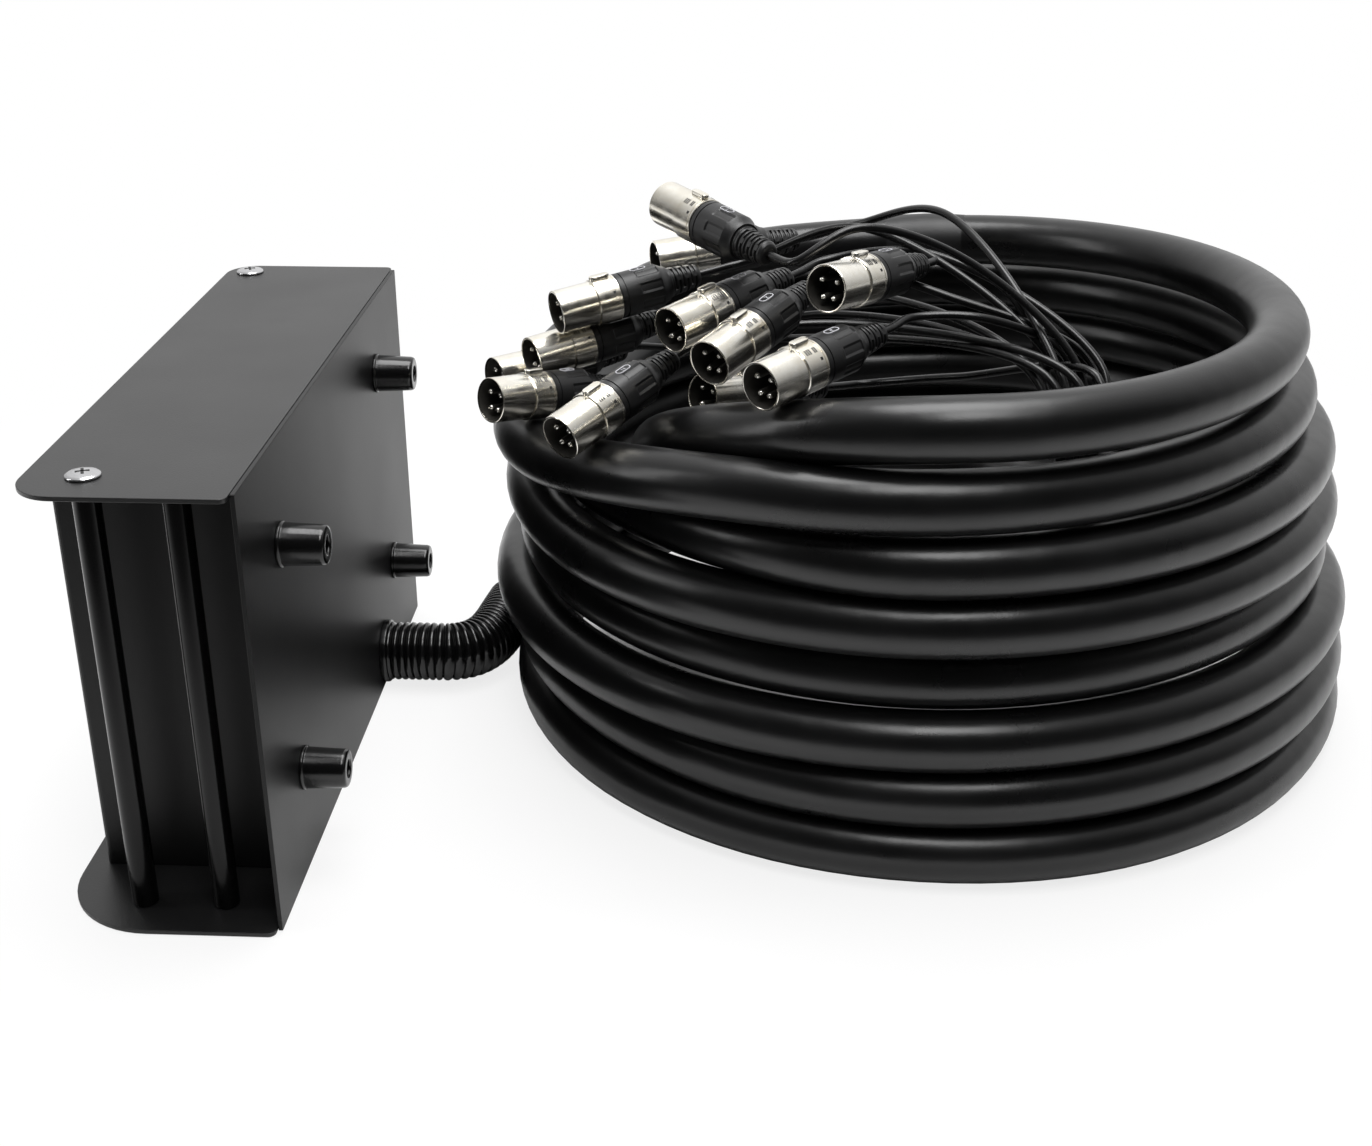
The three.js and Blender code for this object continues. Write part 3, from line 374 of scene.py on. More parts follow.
# Mesh object from forms with their materials
def piece(name, parts, body="root", replaces=(), sharp=35, bevel=0):
    mesh = bpy.data.meshes.new(name)
    verts, faces = merged(*[form for form, _ in parts])
    mesh.from_pydata([v * MM for v in verts], [], faces)
    used = []
    index = 0
    for form, material in parts:
        if material not in used:
            used.append(material)
            mesh.materials.append(material)
        for _ in form[1]:
            mesh.polygons[index].material_index = used.index(material)
            index += 1
    work = bmesh.new()
    work.from_mesh(mesh)
    bmesh.ops.remove_doubles(work, verts=work.verts, dist=WELD_DISTANCE)
    if bevel:
        edges = [e for e in work.edges if len(e.link_faces) == 2 and e.calc_face_angle(0) > BEVEL_CORNER]
        bmesh.ops.bevel(work, geom=edges, offset=bevel * MM, segments=2, affect="EDGES", profile=0.5)
    bmesh.ops.recalc_face_normals(work, faces=work.faces)
    work.to_mesh(mesh)
    work.free()
    mesh.shade_smooth()
    mesh.set_sharp_from_angle(angle=math.radians(sharp))
    made = bpy.data.objects.new(name, mesh)
    bpy.context.scene.collection.objects.link(made)
    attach(made, body)
    if replaces:
        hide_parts(*replaces)
    return made


# Materials
class Nodes:
    def __init__(self, name):
        self.material = bpy.data.materials.new(name)
        self.material.use_nodes = True
        self.tree = self.material.node_tree
        self.shader = self.tree.nodes["Principled BSDF"]
        self.place = self.add("ShaderNodeTexCoord").outputs["Object"]

    def add(self, kind, **values):
        node = self.tree.nodes.new(kind)
        for key, value in values.items():
            setattr(node, key, value)
        return node

    def link(self, source, target):
        self.tree.links.new(source, target)

    def noise(self, scale, detail=3, rough=0.5):
        node = self.add("ShaderNodeTexNoise")
        self.link(self.place, node.inputs["Vector"])
        node.inputs["Scale"].default_value = scale
        node.inputs["Detail"].default_value = detail
        node.inputs["Roughness"].default_value = rough
        return node.outputs["Fac"]

    def ranged(self, value, low, high, to_low, to_high):
        node = self.add("ShaderNodeMapRange")
        self.link(value, node.inputs["Value"])
        for key, number in (("From Min", low), ("From Max", high), ("To Min", to_low), ("To Max", to_high)):
            node.inputs[key].default_value = number
        return node.outputs["Result"]

    def colours(self, value, stops):
        node = self.add("ShaderNodeValToRGB")
        self.link(value, node.inputs["Fac"])
        ramp = node.color_ramp
        while len(ramp.elements) < len(stops):
            ramp.elements.new(0.5)
        for element, (place, colour) in zip(ramp.elements, stops):
            element.position = place
            element.color = (*colour, 1)
        return node.outputs["Color"]

    def bump(self, height, distance, strength, under=None):
        node = self.add("ShaderNodeBump")
        node.inputs["Strength"].default_value = strength
        node.inputs["Distance"].default_value = distance
        self.link(height, node.inputs["Height"])
        if under:
            self.link(under, node.inputs["Normal"])
        return node.outputs["Normal"]

    def finish(self, colour, rough, normal, metal=0.0, specular=0.5):
        self.link(colour, self.shader.inputs["Base Color"])
        self.link(rough, self.shader.inputs["Roughness"])
        self.link(normal, self.shader.inputs["Normal"])
        self.shader.inputs["Metallic"].default_value = metal
        self.shader.inputs["Specular IOR Level"].default_value = specular
        return self.material


def grey(value, tint=1.0):
    return (value, value, value * tint)


# Painted steel: a faint broad cloud of shade over a fine grain
def coat_material(name, dark, light, rough_low, rough_high, grain, gloss):
    n = Nodes(name)
    fine = n.noise(1400, 2)
    broad = n.noise(9, 4, 0.6)
    colour = n.colours(broad, [(0.3, grey(dark, 1.04)), (0.7, grey(light, 1.04))])
    rough = n.ranged(n.noise(16, 3, 0.5), 0.3, 0.7, rough_low, rough_high)
    return n.finish(colour, rough, n.bump(fine, 0.00012, grain), specular=gloss)


# Rubber, plastic and printed marks: uneven sheen over a soft wave
def rubber_material(name, dark, light, rough_low, rough_high, scale=60, wave=0.0004):
    n = Nodes(name)
    colour = n.colours(n.noise(scale, 4), [(0.3, grey(dark, 1.06)), (0.75, grey(light, 1.06))])
    rough = n.ranged(n.noise(scale * 0.6, 5, 0.6), 0.3, 0.7, rough_low, rough_high)
    under = n.bump(n.noise(34, 2), wave, 0.5)
    return n.finish(colour, rough, n.bump(n.noise(900, 2), 0.00008, 0.35, under), specular=0.5)


# Plated and plain metal
def metal_material(name, dark, light, rough_low, rough_high, metal=1.0):
    n = Nodes(name)
    colour = n.colours(n.noise(70, 4, 0.6), [(0.3, dark), (0.7, light)])
    rough = n.ranged(n.noise(160, 5, 0.7), 0.3, 0.7, rough_low, rough_high)
    return n.finish(colour, rough, n.bump(n.noise(600, 3, 0.6), 0.00005, 0.4), metal=metal)


plate_coat = coat_material("plate_coat", 0.006, 0.009, 0.36, 0.42, 0.5, 0.55)
chassis_coat = coat_material("chassis_coat", 0.003, 0.005, 0.4, 0.43, 0.3, 0.3)
bar_coat = coat_material("bar_coat", 0.002, 0.003, 0.16, 0.2, 0.15, 0.22)
foot_rubber = rubber_material("foot_rubber", 0.002, 0.003, 0.14, 0.22)
hose_plastic = rubber_material("hose_plastic", 0.002, 0.004, 0.14, 0.24)
cable_jacket = rubber_material("cable_jacket", 0.002, 0.005, 0.25, 0.37, 30, 0.0012)
shrink_tube = rubber_material("shrink_tube", 0.006, 0.009, 0.38, 0.5)
lead_jacket = rubber_material("lead_jacket", 0.003, 0.005, 0.22, 0.34)
grip_plastic = rubber_material("grip_plastic", 0.006, 0.009, 0.34, 0.48)
# Black plastic of the inserts, also used for the black crosses and windows that are painted shade in
# recesses and openings
black_plastic_and_painted_shade = rubber_material("black_plastic_and_painted_shade", 0.003, 0.005, 0.45, 0.55)
socket_shell = coat_material("socket_shell", 0.008, 0.012, 0.34, 0.42, 0.5, 0.4)
plug_nickel = metal_material("plug_nickel", (0.78, 0.73, 0.62), (0.93, 0.91, 0.85), 0.15, 0.27)
# Dark metal for the mouth's inner wall and the pins' shanks: painted shade inside the plug's mouth
painted_shade_cup_metal = metal_material("painted_shade_cup_metal", (0.05, 0.047, 0.042), (0.08, 0.076, 0.068), 0.35, 0.5, metal=0.3)
cup_plastic = rubber_material("cup_plastic", 0.02, 0.032, 0.4, 0.5)
pin_metal = metal_material("pin_metal", (0.85, 0.83, 0.76), (0.95, 0.93, 0.88), 0.2, 0.3)
chrome_screw = metal_material("chrome_screw", (0.5, 0.5, 0.51), (0.62, 0.62, 0.63), 0.14, 0.24)
dark_screw = metal_material("dark_screw", (0.05, 0.05, 0.055), (0.09, 0.09, 0.095), 0.3, 0.4)
latch_steel = metal_material("latch_steel", (0.5, 0.5, 0.51), (0.64, 0.64, 0.65), 0.22, 0.34)
mark_paint = rubber_material("mark_paint", 0.6, 0.72, 0.4, 0.5)
plug_mark = rubber_material("plug_mark", 0.5, 0.62, 0.4, 0.5)


# Coil, as in the source: each turn's radius and middle at the front, and its left side, as shares
TURN_RADIUS_SHARES = (1.041, 1.076, 1.082, 1, 1.018, 1.006, 0.976, 0.976)
TURN_MIDDLE_X_SHARES = (0.045, 0.027, 0.009, 0.009, -0.002, -0.026, -0.073, -0.032)
TURN_MIDDLE_Y_SHARES = (-0.007, 0.034, 0.04, 0.016, -0.031, -0.048, -0.078, -0.078)
TURN_LIFT_SHARES = (0, 0, 0, 0, 0, 0, 0.025, 0.172)
LEFT_IN_SHARES = (-0.018, 0.03, -0.012, -0.006, -0.006, 0.13, -0.006)
LEFT_DOWN_SHARES = (0, 0, 0.01, 0.01, 0.04, 0.5, 1)
DROP_SHARES = ((3, 0.2, 0.09), (5.12, 0.12, 0.07))
LEFT_IN_RISE = (0, 0.16)
LEFT_IN_FALL = (0.25, 0.55)
LEFT_DOWN_RISE = (0.05, 0.25)
LEFT_DOWN_FALL = (0.25, 0.45)
ENTRY_PHASE = (-0.5, -0.14)
BACK_IN_PHASE = (6.36, 6.5)
BACK_OUT_PHASE = (6.7, 7)
INNER_PHASE = (6.97, 7.3)
DROP_PHASE = (6.98, 7.4)
ENTRY_OFFSET_SHARE = 1.18
CLIMB_SHARE = 1.6
BACK_IN_SHARE = 0.088
INNER_RADIUS_SHARE = 0.588
INNER_DROP_SHARE = 4.7
INNER_END_SHARES = (
    (0.533, -0.295, 0.383), (0.474, -0.484, 0.423), (0.409, -0.613, 0.524), (0.362, -0.672, 0.645),
)
HOSE_SHARES = (
    (0, 0), (0.04, 0), (0.08, 0), (0.112, 0.006), (0.146, 0.03), (0.17, 0.074), (0.184, 0.13),
    (0.192, 0.193), (0.2, 0.256),
)
HOSE_HEIGHT_SHARES = (1, 1, 1, 0.96, 0.91, 0.88, 0.88, 0.88, 0.88)
TRUNK_LEAD_SHARES = (
    (0.216, 0.377), (0.265, 0.52), (0.344, 0.668), (0.451, 0.803), (0.581, 0.906), (0.723, 0.969),
    (0.81, 1.018),
)


def coil_place(shares):
    x, y, z = shares
    return Vector((COIL_X + x * COIL_RADIUS, COIL_Y + y * COIL_RADIUS, z * COIL_HEIGHT))


def between(table, turn):
    at = min(max(turn, 0), len(table) - 1)
    first = math.floor(at)
    second = min(first + 1, len(table) - 1)
    return mixed(table[first], table[second], smooth(at - first))


# Point of the cable's middle line after so many turns, counted from the near side
def coil_point(turn):
    angle = -math.pi / 2 - 2 * math.pi * turn
    whole = min(max(math.floor(turn), 0), len(LEFT_IN_SHARES) - 1)
    part = turn - math.floor(turn)
    wound = 1 if 0 < turn < WOUND_TURNS else 0
    left_in = wound * rise(part, LEFT_IN_RISE) * (1 - rise(part, LEFT_IN_FALL))
    left_down = wound * rise(part, LEFT_DOWN_RISE) * (1 - rise(part, LEFT_DOWN_FALL))
    drop = sum(depth * smooth(1 - abs(turn - middle) / reach) for middle, reach, depth in DROP_SHARES)

    radius = COIL_RADIUS * (between(TURN_RADIUS_SHARES, turn) - LEFT_IN_SHARES[whole] * left_in)
    radius += CABLE_DIAMETER * ENTRY_OFFSET_SHARE * (1 - rise(turn, ENTRY_PHASE))
    radius -= COIL_RADIUS * BACK_IN_SHARE * rise(turn, BACK_IN_PHASE) * (1 - rise(turn, BACK_OUT_PHASE))
    radius += (COIL_RADIUS * INNER_RADIUS_SHARE - radius) * rise(turn, INNER_PHASE)

    climbing = min(max(turn, 0), WOUND_TURNS)
    wave = CLIMB_SHARE * math.sin(2 * math.pi * climbing) / (2 * math.pi)
    climbed = max(climbing - wave, 0)
    lift = between(TURN_LIFT_SHARES, turn) - LEFT_DOWN_SHARES[whole] * left_down - drop
    height = max(CABLE_DIAMETER / 2 + TURN_PITCH * climbed + CABLE_DIAMETER * lift, CABLE_DIAMETER / 2)
    height -= CABLE_DIAMETER * INNER_DROP_SHARE * rise(turn, DROP_PHASE)

    middle_x = COIL_X + COIL_RADIUS * between(TURN_MIDDLE_X_SHARES, turn)
    middle_y = COIL_Y + COIL_RADIUS * between(TURN_MIDDLE_Y_SHARES, turn)
    return Vector((middle_x + radius * math.cos(angle), middle_y + radius * math.sin(angle), height))


COIL_START_TURN = -0.5
coil_steps = round((COIL_TURNS - COIL_START_TURN) * STEPS_PER_TURN)
coil_line = [coil_point(COIL_START_TURN + i / STEPS_PER_TURN) for i in range(coil_steps + 1)]
coil_start = coil_line[0]
coil_start_aim = (coil_line[1] - coil_start).normalized()


def lead_place(shares, height):
    return Vector((HOSE_START_X + shares[0] * (coil_start.x - HOSE_START_X),
                   GLAND_Y + shares[1] * (coil_start.y - GLAND_Y), height))


hose_points = [lead_place(s, h * GLAND_Z) for s, h in zip(HOSE_SHARES, HOSE_HEIGHT_SHARES)]
hose_end_aim = (hose_points[-1] - hose_points[-2]).normalized()
trunk_points = [Vector((COVER_INNER_X - CABLE_INSIDE, GLAND_Y, GLAND_Z)), *hose_points]
trunk_points += [hose_points[-1] + hose_end_aim * CABLE_DIAMETER * s for s in (0.5, 1)]
trunk_points += [lead_place(s, CABLE_DIAMETER / 2) for s in TRUNK_LEAD_SHARES]
trunk_points += [coil_start - coil_start_aim * CABLE_DIAMETER * s for s in (1, 0.5)]
lead_in = smooth_line([*trunk_points, coil_start], CABLE_STEP)
inner = smooth_line([coil_line[-1], *[coil_place(s) for s in INNER_END_SHARES]], CABLE_STEP)
trunk_line = lead_in + coil_line[1:] + inner[1:]

# The line is drawn again through wider steps where the lead runs into the coil
EASED_STEPS = (-30, -20, -10, 6, 12, 18)
seam = len(lead_in) - 1
eased = smooth_line([trunk_line[seam + k] for k in EASED_STEPS], CABLE_STEP)
trunk_line = trunk_line[:seam + EASED_STEPS[0]] + eased + trunk_line[seam + EASED_STEPS[-1] + 1:]
coil_end = trunk_line[-1]
coil_end_aim = (trunk_line[-1] - trunk_line[-3]).normalized()


# The jacket is a little uneven along the cable and round it
JACKET_SHARE = 1.015
SWELL_SHARE = 0.008
SWELL_SCALE = 0.018
SWELL_ROUND = 0.2


def jacket_radius(i, angle):
    swell = noise(trunk_line[i] * SWELL_SCALE + Vector((0, 0, angle * SWELL_ROUND)))
    return CABLE_DIAMETER / 2 * (JACKET_SHARE + SWELL_SHARE * swell)


# The lowest turn is pressed flat where it lies on the floor
trunk_form = swept(trunk_line, jacket_radius, CABLE_SIDES)
for vertex in trunk_form[0]:
    vertex.z = max(vertex.z, 0)
trunk = piece("trunk_cable", [(trunk_form, cable_jacket)],
              replaces=["trunk_lead", "cable_coil"])

# Ribbed hose over the cable where it leaves the gland
HOSE_STEP = RIB_PITCH / 12
HOSE_CREST = HOSE_DIAMETER / 2 + HOSE_SLACK
HOSE_VALLEY = CABLE_DIAMETER / 2 + HOSE_SLACK
hose_line = smooth_line(hose_points, HOSE_STEP)


def hose_radius(i, angle):
    wave = abs(math.cos(math.pi * i * HOSE_STEP / RIB_PITCH))
    return mixed(HOSE_VALLEY, HOSE_CREST, wave ** RIB_FULLNESS)


hose = piece("ribbed_hose", [(swept(hose_line, hose_radius, HOSE_SIDES, caps=False), hose_plastic)],
             replaces=["strain_relief_hose"], sharp=60)

# Heat-shrink sleeve round the top turn, at the back
SLEEVE_EDGE = 0.25
SLEEVE_SWELL = 0.9
SLEEVE_EDGE_STEPS = 1.5
WRINKLE_DEPTH = 0.25
WRINKLE_SCALE = 0.12
sleeve_middle = round((SLEEVE_TURN - COIL_START_TURN) * STEPS_PER_TURN)
sleeve_half = round(SLEEVE_LENGTH / 2 / line_length(coil_line[sleeve_middle:sleeve_middle + 2]))
sleeve_line = coil_line[sleeve_middle - sleeve_half:sleeve_middle + sleeve_half + 1]


def sleeve_radius(i, angle):
    edge = min(i, len(sleeve_line) - 1 - i)
    wrinkle = WRINKLE_DEPTH * noise(sleeve_line[i] * WRINKLE_SCALE + UP * angle)
    return CABLE_DIAMETER / 2 + SLEEVE_EDGE + SLEEVE_SWELL * smooth(edge / SLEEVE_EDGE_STEPS) + wrinkle


sleeve = piece("shrink_sleeve", [(swept(sleeve_line, sleeve_radius, CABLE_SIDES), shrink_tube)],
               replaces=["heat_shrink_sleeve"], sharp=50)

# Plugs: each mouth's place in shares of the coil, the way it points, and its lead's way to the bundle
PLUGS = (
    ((-0.654, -0.266, 1.202), (0.65, -0.75, -0.12),
     ((-0.344, -0.625, 1.164), (-0.202, -0.589, 1.224), (0.056, -0.542, 1.149))),
    ((-0.926, -0.319, 0.977), (0.885, 0.444, 0.137), ((-0.455, -0.095, 1.043), (-0.179, -0.236, 1.149))),
    ((-0.696, -0.078, 1.033), (0.93, 0.33, 0.08), ((-0.179, 0.081, 1.088), (0.027, -0.178, 1.169))),
    ((-0.626, -0.631, 1.025), (0.695, 0.707, 0.131), ((-0.261, -0.272, 1.088), (-0.014, -0.342, 1.118))),
    ((-0.531, -0.795, 1.004), (0.577, 0.788, 0.214), ((-0.226, -0.395, 1.099), (0.009, -0.472, 1.064))),
    ((-0.416, -0.986, 1.015), (0.687, 0.721, 0.092), ((-0.073, -0.613, 1.053), (0.104, -0.601, 1.048))),
    ((-0.276, -0.734, 1.138), (0.602, 0.795, -0.07), ((0.021, -0.336, 1.108), (0.162, -0.46, 1.068))),
    ((-0.991, -0.328, 0.877), (0.826, 0.554, 0.105), ((-0.532, -0.048, 0.912), (-0.208, -0.178, 0.997))),
    ((-1.094, -0.272, 0.815), (0.8, 0.6, 0.02), ((-0.638, 0.046, 0.806), (-0.267, -0.107, 0.927))),
    ((-1.064, -0.546, 0.848), (0.71, 0.68, -0.13), ((-0.679, -0.178, 0.836), (-0.326, -0.201, 0.897))),
    ((-0.865, -0.831, 0.86), (0.62, 0.744, 0.248), ((-0.532, -0.442, 0.962), (-0.208, -0.384, 0.977))),
    ((-0.555, -0.554, 0.866), (0.75, 0.64, -0.15), ((-0.149, -0.236, 0.806), (0.056, -0.384, 0.866))),
)
BUNDLE_SHARES = (0.28, -0.636, 0.957)
BUNDLE_SPREAD_SHARE = 2.3

# Plug sizes, with places along the plug measured from its mouth
PLUG_SIDES = 48
MOUTH_RADIUS = 9.3
REAR_RADIUS = 9.9
BORE_RADIUS = 8.55
CUP_DEPTH = 13
INSERT_FACE_RADIUS = 7.9
INSERT_EDGE = 0.4
STEP_AT = 16.3
SHELL_GROOVE_AT = 25.5
SHELL_LENGTH = 27
SHELL_EDGE = 0.2
PIN_RADIUS = 1.2
PIN_START = 1.6
PIN_CIRCLE_RADIUS = 4.4
CONTACT_ANGLES = (52, 148, 212, 308)
BOSS_SIZE = (8.8, 3.6, 2.1)
BOSS_AT = 16.6
SLIT_BOX = (-0.6, 0.6, 0, 1.1, 0, 0.35)
SLIT_AT = 23.6
SLIT_ANGLES = (58, 160, 200, 302)
NOTCH_BOX = (-1.2, 1.2, 0, 0.5, 0, 0.36)
NOTCH_PLACES = (18.6, 19.6, 20.6, 22.6, 23.5)
NOTCH_ANGLES = (34, 326)
MARK_LENGTH = 7.2
MARK_WIDTH = 3.4
MARK_LINE = 0.38
MARK_AT = 35
MARK_NUMBER_AT = 38.6
MARK_NUMBER_SIZE = 2.3


def contact_places(radius):
    return [(radius * math.sin(math.radians(a)), radius * math.cos(math.radians(a))) for a in CONTACT_ANGLES]


# Long rounded outline and the plate inside it
def capsule_outline(length, width, inset=0.0):
    half = width / 2
    return [*arc(0, length - half, half - inset, 0, math.pi, 10),
            *arc(0, half, half - inset, math.pi, 2 * math.pi, 10)]


def capsule(length, width, height):
    return plate_form([capsule_outline(length, width)], 0, height, min(0.25, height * 0.4))


# Form that stands on a plug's top, from one lying on Z, with its length along the plug
def on_top(form, start, radius):
    turn = Matrix(((1, 0, 0), (0, 0, 1), (0, 1, 0))).to_4x4()
    return moved(form, Matrix.Translation((0, radius, start)) @ turn)


def turned_about(form, degrees):
    return moved(form, Matrix.Rotation(math.radians(degrees), 4, "Z"))


# Collar with a groove, a tapered end and grip recesses
COLLAR_SIDES = 128
COLLAR_RADIUS = 9.6
COLLAR_SEAM = 0.4
COLLAR_SEAM_DEPTH = 0.5
COLLAR_GROOVE = (29.4, 29.9)
COLLAR_GROOVE_DEPTH = 0.4
COLLAR_TAPER = (45.5, 50.5)
COLLAR_TAPER_DEPTH = 2.1
COLLAR_HEIGHTS = (
    SHELL_LENGTH, 27.35, 27.45, 29.35, 29.45, 29.85, 29.95, 34, 35.9, 36.25, 36.6, 39, 42, 44, 45.4, 45.85,
    46.3, 46.6, 47.3, 48, 48.8, 49.6, 50.4,
)
GRIP_COUNT = 8
GRIP = (36, 46.3)
GRIP_DEPTH = 0.55
GRIP_EDGE = 0.5
GRIP_HALF_SHARE = 0.27
GRIP_SIDE_SHARE = 0.04


def collar_radius(height, angle):
    body = COLLAR_RADIUS
    if height < SHELL_LENGTH + COLLAR_SEAM:
        body -= COLLAR_SEAM_DEPTH
    if COLLAR_GROOVE[0] < height < COLLAR_GROOVE[1]:
        body -= COLLAR_GROOVE_DEPTH
    body -= COLLAR_TAPER_DEPTH * rise(height, COLLAR_TAPER)
    turn = (angle * GRIP_COUNT / (2 * math.pi)) % 1
    beside = smooth((GRIP_HALF_SHARE - abs(turn - 0.5)) / GRIP_SIDE_SHARE)
    along = smooth((height - GRIP[0]) / GRIP_EDGE) * smooth((GRIP[1] - height) / GRIP_EDGE)
    return body - GRIP_DEPTH * beside * along


def collar_form():
    rings = []
    for height in COLLAR_HEIGHTS:
        ring = []
        for j in range(COLLAR_SIDES):
            angle = 2 * math.pi * j / COLLAR_SIDES
            radius = collar_radius(height, angle)
            ring.append(Vector((radius * math.sin(angle), radius * math.cos(angle), height)))
        rings.append(ring)
    return skin(rings)


# Boot with ribs that get smaller, and short bridges that break the grooves between them
BOOT_AT = 48
BOOT_NECK_RADIUS = 6.6
BOOT_RIBS = 6
BOOT_RIBS_AT = 51.5
BOOT_RIB_PITCH = 1.95
BOOT_RIB_RADIUS = 6.3
BOOT_RIB_TAPER = 0.22
BRIDGE_HALF_WIDTH = 1.1
BRIDGES_PER_RIB = 3


def boot_rib(k):
    return BOOT_RIB_RADIUS - BOOT_RIB_TAPER * k, BOOT_RIBS_AT + BOOT_RIB_PITCH * k


def boot_form():
    profile = [(0, BOOT_AT), (BOOT_NECK_RADIUS, BOOT_AT), (BOOT_NECK_RADIUS, BOOT_RIBS_AT)]
    for k in range(BOOT_RIBS):
        outer, start = boot_rib(k)
        profile += [(outer, start + 0.15), (outer, start + 1.15),
                    (outer - 1.0, start + 1.35), (outer - 1.05, start + BOOT_RIB_PITCH)]
    _, end = boot_rib(BOOT_RIBS)
    profile += [(5.0, end + 0.2), (4.9, end + 1.2),
                (4.1, PLUG_LENGTH - 0.4), (3.2, PLUG_LENGTH), (0, PLUG_LENGTH)]
    return turned(rounded(profile, 0.25, 2), PLUG_SIDES)


def boot_bridges():
    made = []
    for k in range(BOOT_RIBS):
        outer, start = boot_rib(k)
        bridge = box_form(-BRIDGE_HALF_WIDTH, BRIDGE_HALF_WIDTH, outer - 1.6, outer - 0.05,
                          start + 0.9, start + 2.3)
        for j in range(BRIDGES_PER_RIB):
            made.append(turned_about(bridge, 360 * (j + k % 2 / 2) / BRIDGES_PER_RIB))
    return merged(*made)


# Shell from the mouth's lip over the step to the groove and the rear edge
def shell_form():
    profile = [(BORE_RADIUS, 2 * SHELL_EDGE), (BORE_RADIUS, SHELL_EDGE / 2), (BORE_RADIUS + SHELL_EDGE, 0),
               (MOUTH_RADIUS - SHELL_EDGE, 0), (MOUTH_RADIUS, 0.25), (MOUTH_RADIUS, STEP_AT - 0.1),
               (MOUTH_RADIUS - 0.15, STEP_AT), (MOUTH_RADIUS - 0.15, STEP_AT + 0.2),
               (REAR_RADIUS - 0.15, STEP_AT + 0.35), (REAR_RADIUS, STEP_AT + 0.6),
               (REAR_RADIUS, SHELL_GROOVE_AT), (REAR_RADIUS - 0.25, SHELL_GROOVE_AT + 0.1),
               (REAR_RADIUS - 0.25, SHELL_GROOVE_AT + 0.4), (REAR_RADIUS, SHELL_GROOVE_AT + 0.5),
               (REAR_RADIUS, SHELL_LENGTH - SHELL_EDGE), (REAR_RADIUS - SHELL_EDGE, SHELL_LENGTH),
               (0, SHELL_LENGTH)]
    return turned(profile, PLUG_SIDES)


# Inner wall of the mouth, coloured with the dark cup metal as painted shade
def cup_form():
    return turned([(0, CUP_DEPTH), (BORE_RADIUS, CUP_DEPTH), (BORE_RADIUS, 2 * SHELL_EDGE)], PLUG_SIDES)


def insert_form():
    face = CUP_DEPTH - 0.7
    rim = INSERT_FACE_RADIUS + INSERT_EDGE
    return turned([(0, face), (INSERT_FACE_RADIUS, face), (rim, face + INSERT_EDGE), (rim, CUP_DEPTH + 0.2)],
                  PLUG_SIDES)


# Pin as a rounded tip and its shank; the shank takes the dark cup metal as painted shade inside the mouth,
# the tip the bright pin metal
def pin_forms(x, y):
    r = PIN_RADIUS
    tip = [(0, PIN_START), (r * 0.55, PIN_START + 0.15),
           (r * 0.85, PIN_START + 0.55), (r * 0.98, PIN_START + 1.1)]
    shank = [tip[-1], (r, PIN_START + 1.4), (r, CUP_DEPTH), (0, CUP_DEPTH)]
    return [moved(turned(profile, 16), Matrix.Translation((x, y, 0))) for profile in (tip, shank)]


# Slits and notches of the shell are thin black boxes set into it: painted shade of the openings
slit = on_top(box_form(*SLIT_BOX), SLIT_AT, REAR_RADIUS - 0.31)
notches = [on_top(box_form(*NOTCH_BOX), place, REAR_RADIUS - 0.33) for place in NOTCH_PLACES]
windows = [turned_about(slit, degrees) for degrees in SLIT_ANGLES]
windows += [turned_about(notch, degrees) for degrees in NOTCH_ANGLES for notch in notches]
mark_outlines = [capsule_outline(MARK_LENGTH, MARK_WIDTH, inset) for inset in (0, MARK_LINE)]
plug_parts = [
    (shell_form(), plug_nickel),
    (cup_form(), painted_shade_cup_metal),
    (on_top(capsule(*BOSS_SIZE), BOSS_AT, REAR_RADIUS - 0.6), plug_nickel),
    (insert_form(), cup_plastic),
    (collar_form(), grip_plastic),
    (boot_form(), grip_plastic),
    (boot_bridges(), grip_plastic),
    (on_top(plate_form(mark_outlines, 0, 0.5, 0.1), MARK_AT, COLLAR_RADIUS - 0.3), plug_mark),
]
# The windows are black as painted shade of the openings; the pins' shanks take the dark cup metal as painted
# shade inside the mouth
window_and_pin_parts = [(form, black_plastic_and_painted_shade) for form in windows]
for x, y in contact_places(PIN_CIRCLE_RADIUS):
    window_and_pin_parts += zip(pin_forms(x, y), (pin_metal, painted_shade_cup_metal))


# Plug in its place, with its number in the mark; the lead needs its seat and aim
def make_plug(index, mouth, aim):
    forward = Vector(aim).normalized()
    sideways = UP.cross(forward).normalized()
    upward = forward.cross(sideways)
    turn = Matrix((sideways, upward, forward)).transposed().to_4x4()
    seat = Matrix.Translation(coil_place(mouth)) @ turn
    name = f"plug_{index:02d}"
    digits = moved(digits_form(str(index), MARK_NUMBER_SIZE, 0.1), Matrix.Rotation(math.pi / 2, 4, "Z"))
    number = on_top(digits, MARK_NUMBER_AT, COLLAR_RADIUS + 0.08)
    parts = [*plug_parts, (number, plug_mark), *window_and_pin_parts]
    made = piece(f"{name}_dressed", placed(parts, seat), replaces=[name], sharp=28)
    return made, seat, forward


plugs = [make_plug(i + 1, mouth, aim) for i, (mouth, aim, _) in enumerate(PLUGS)]

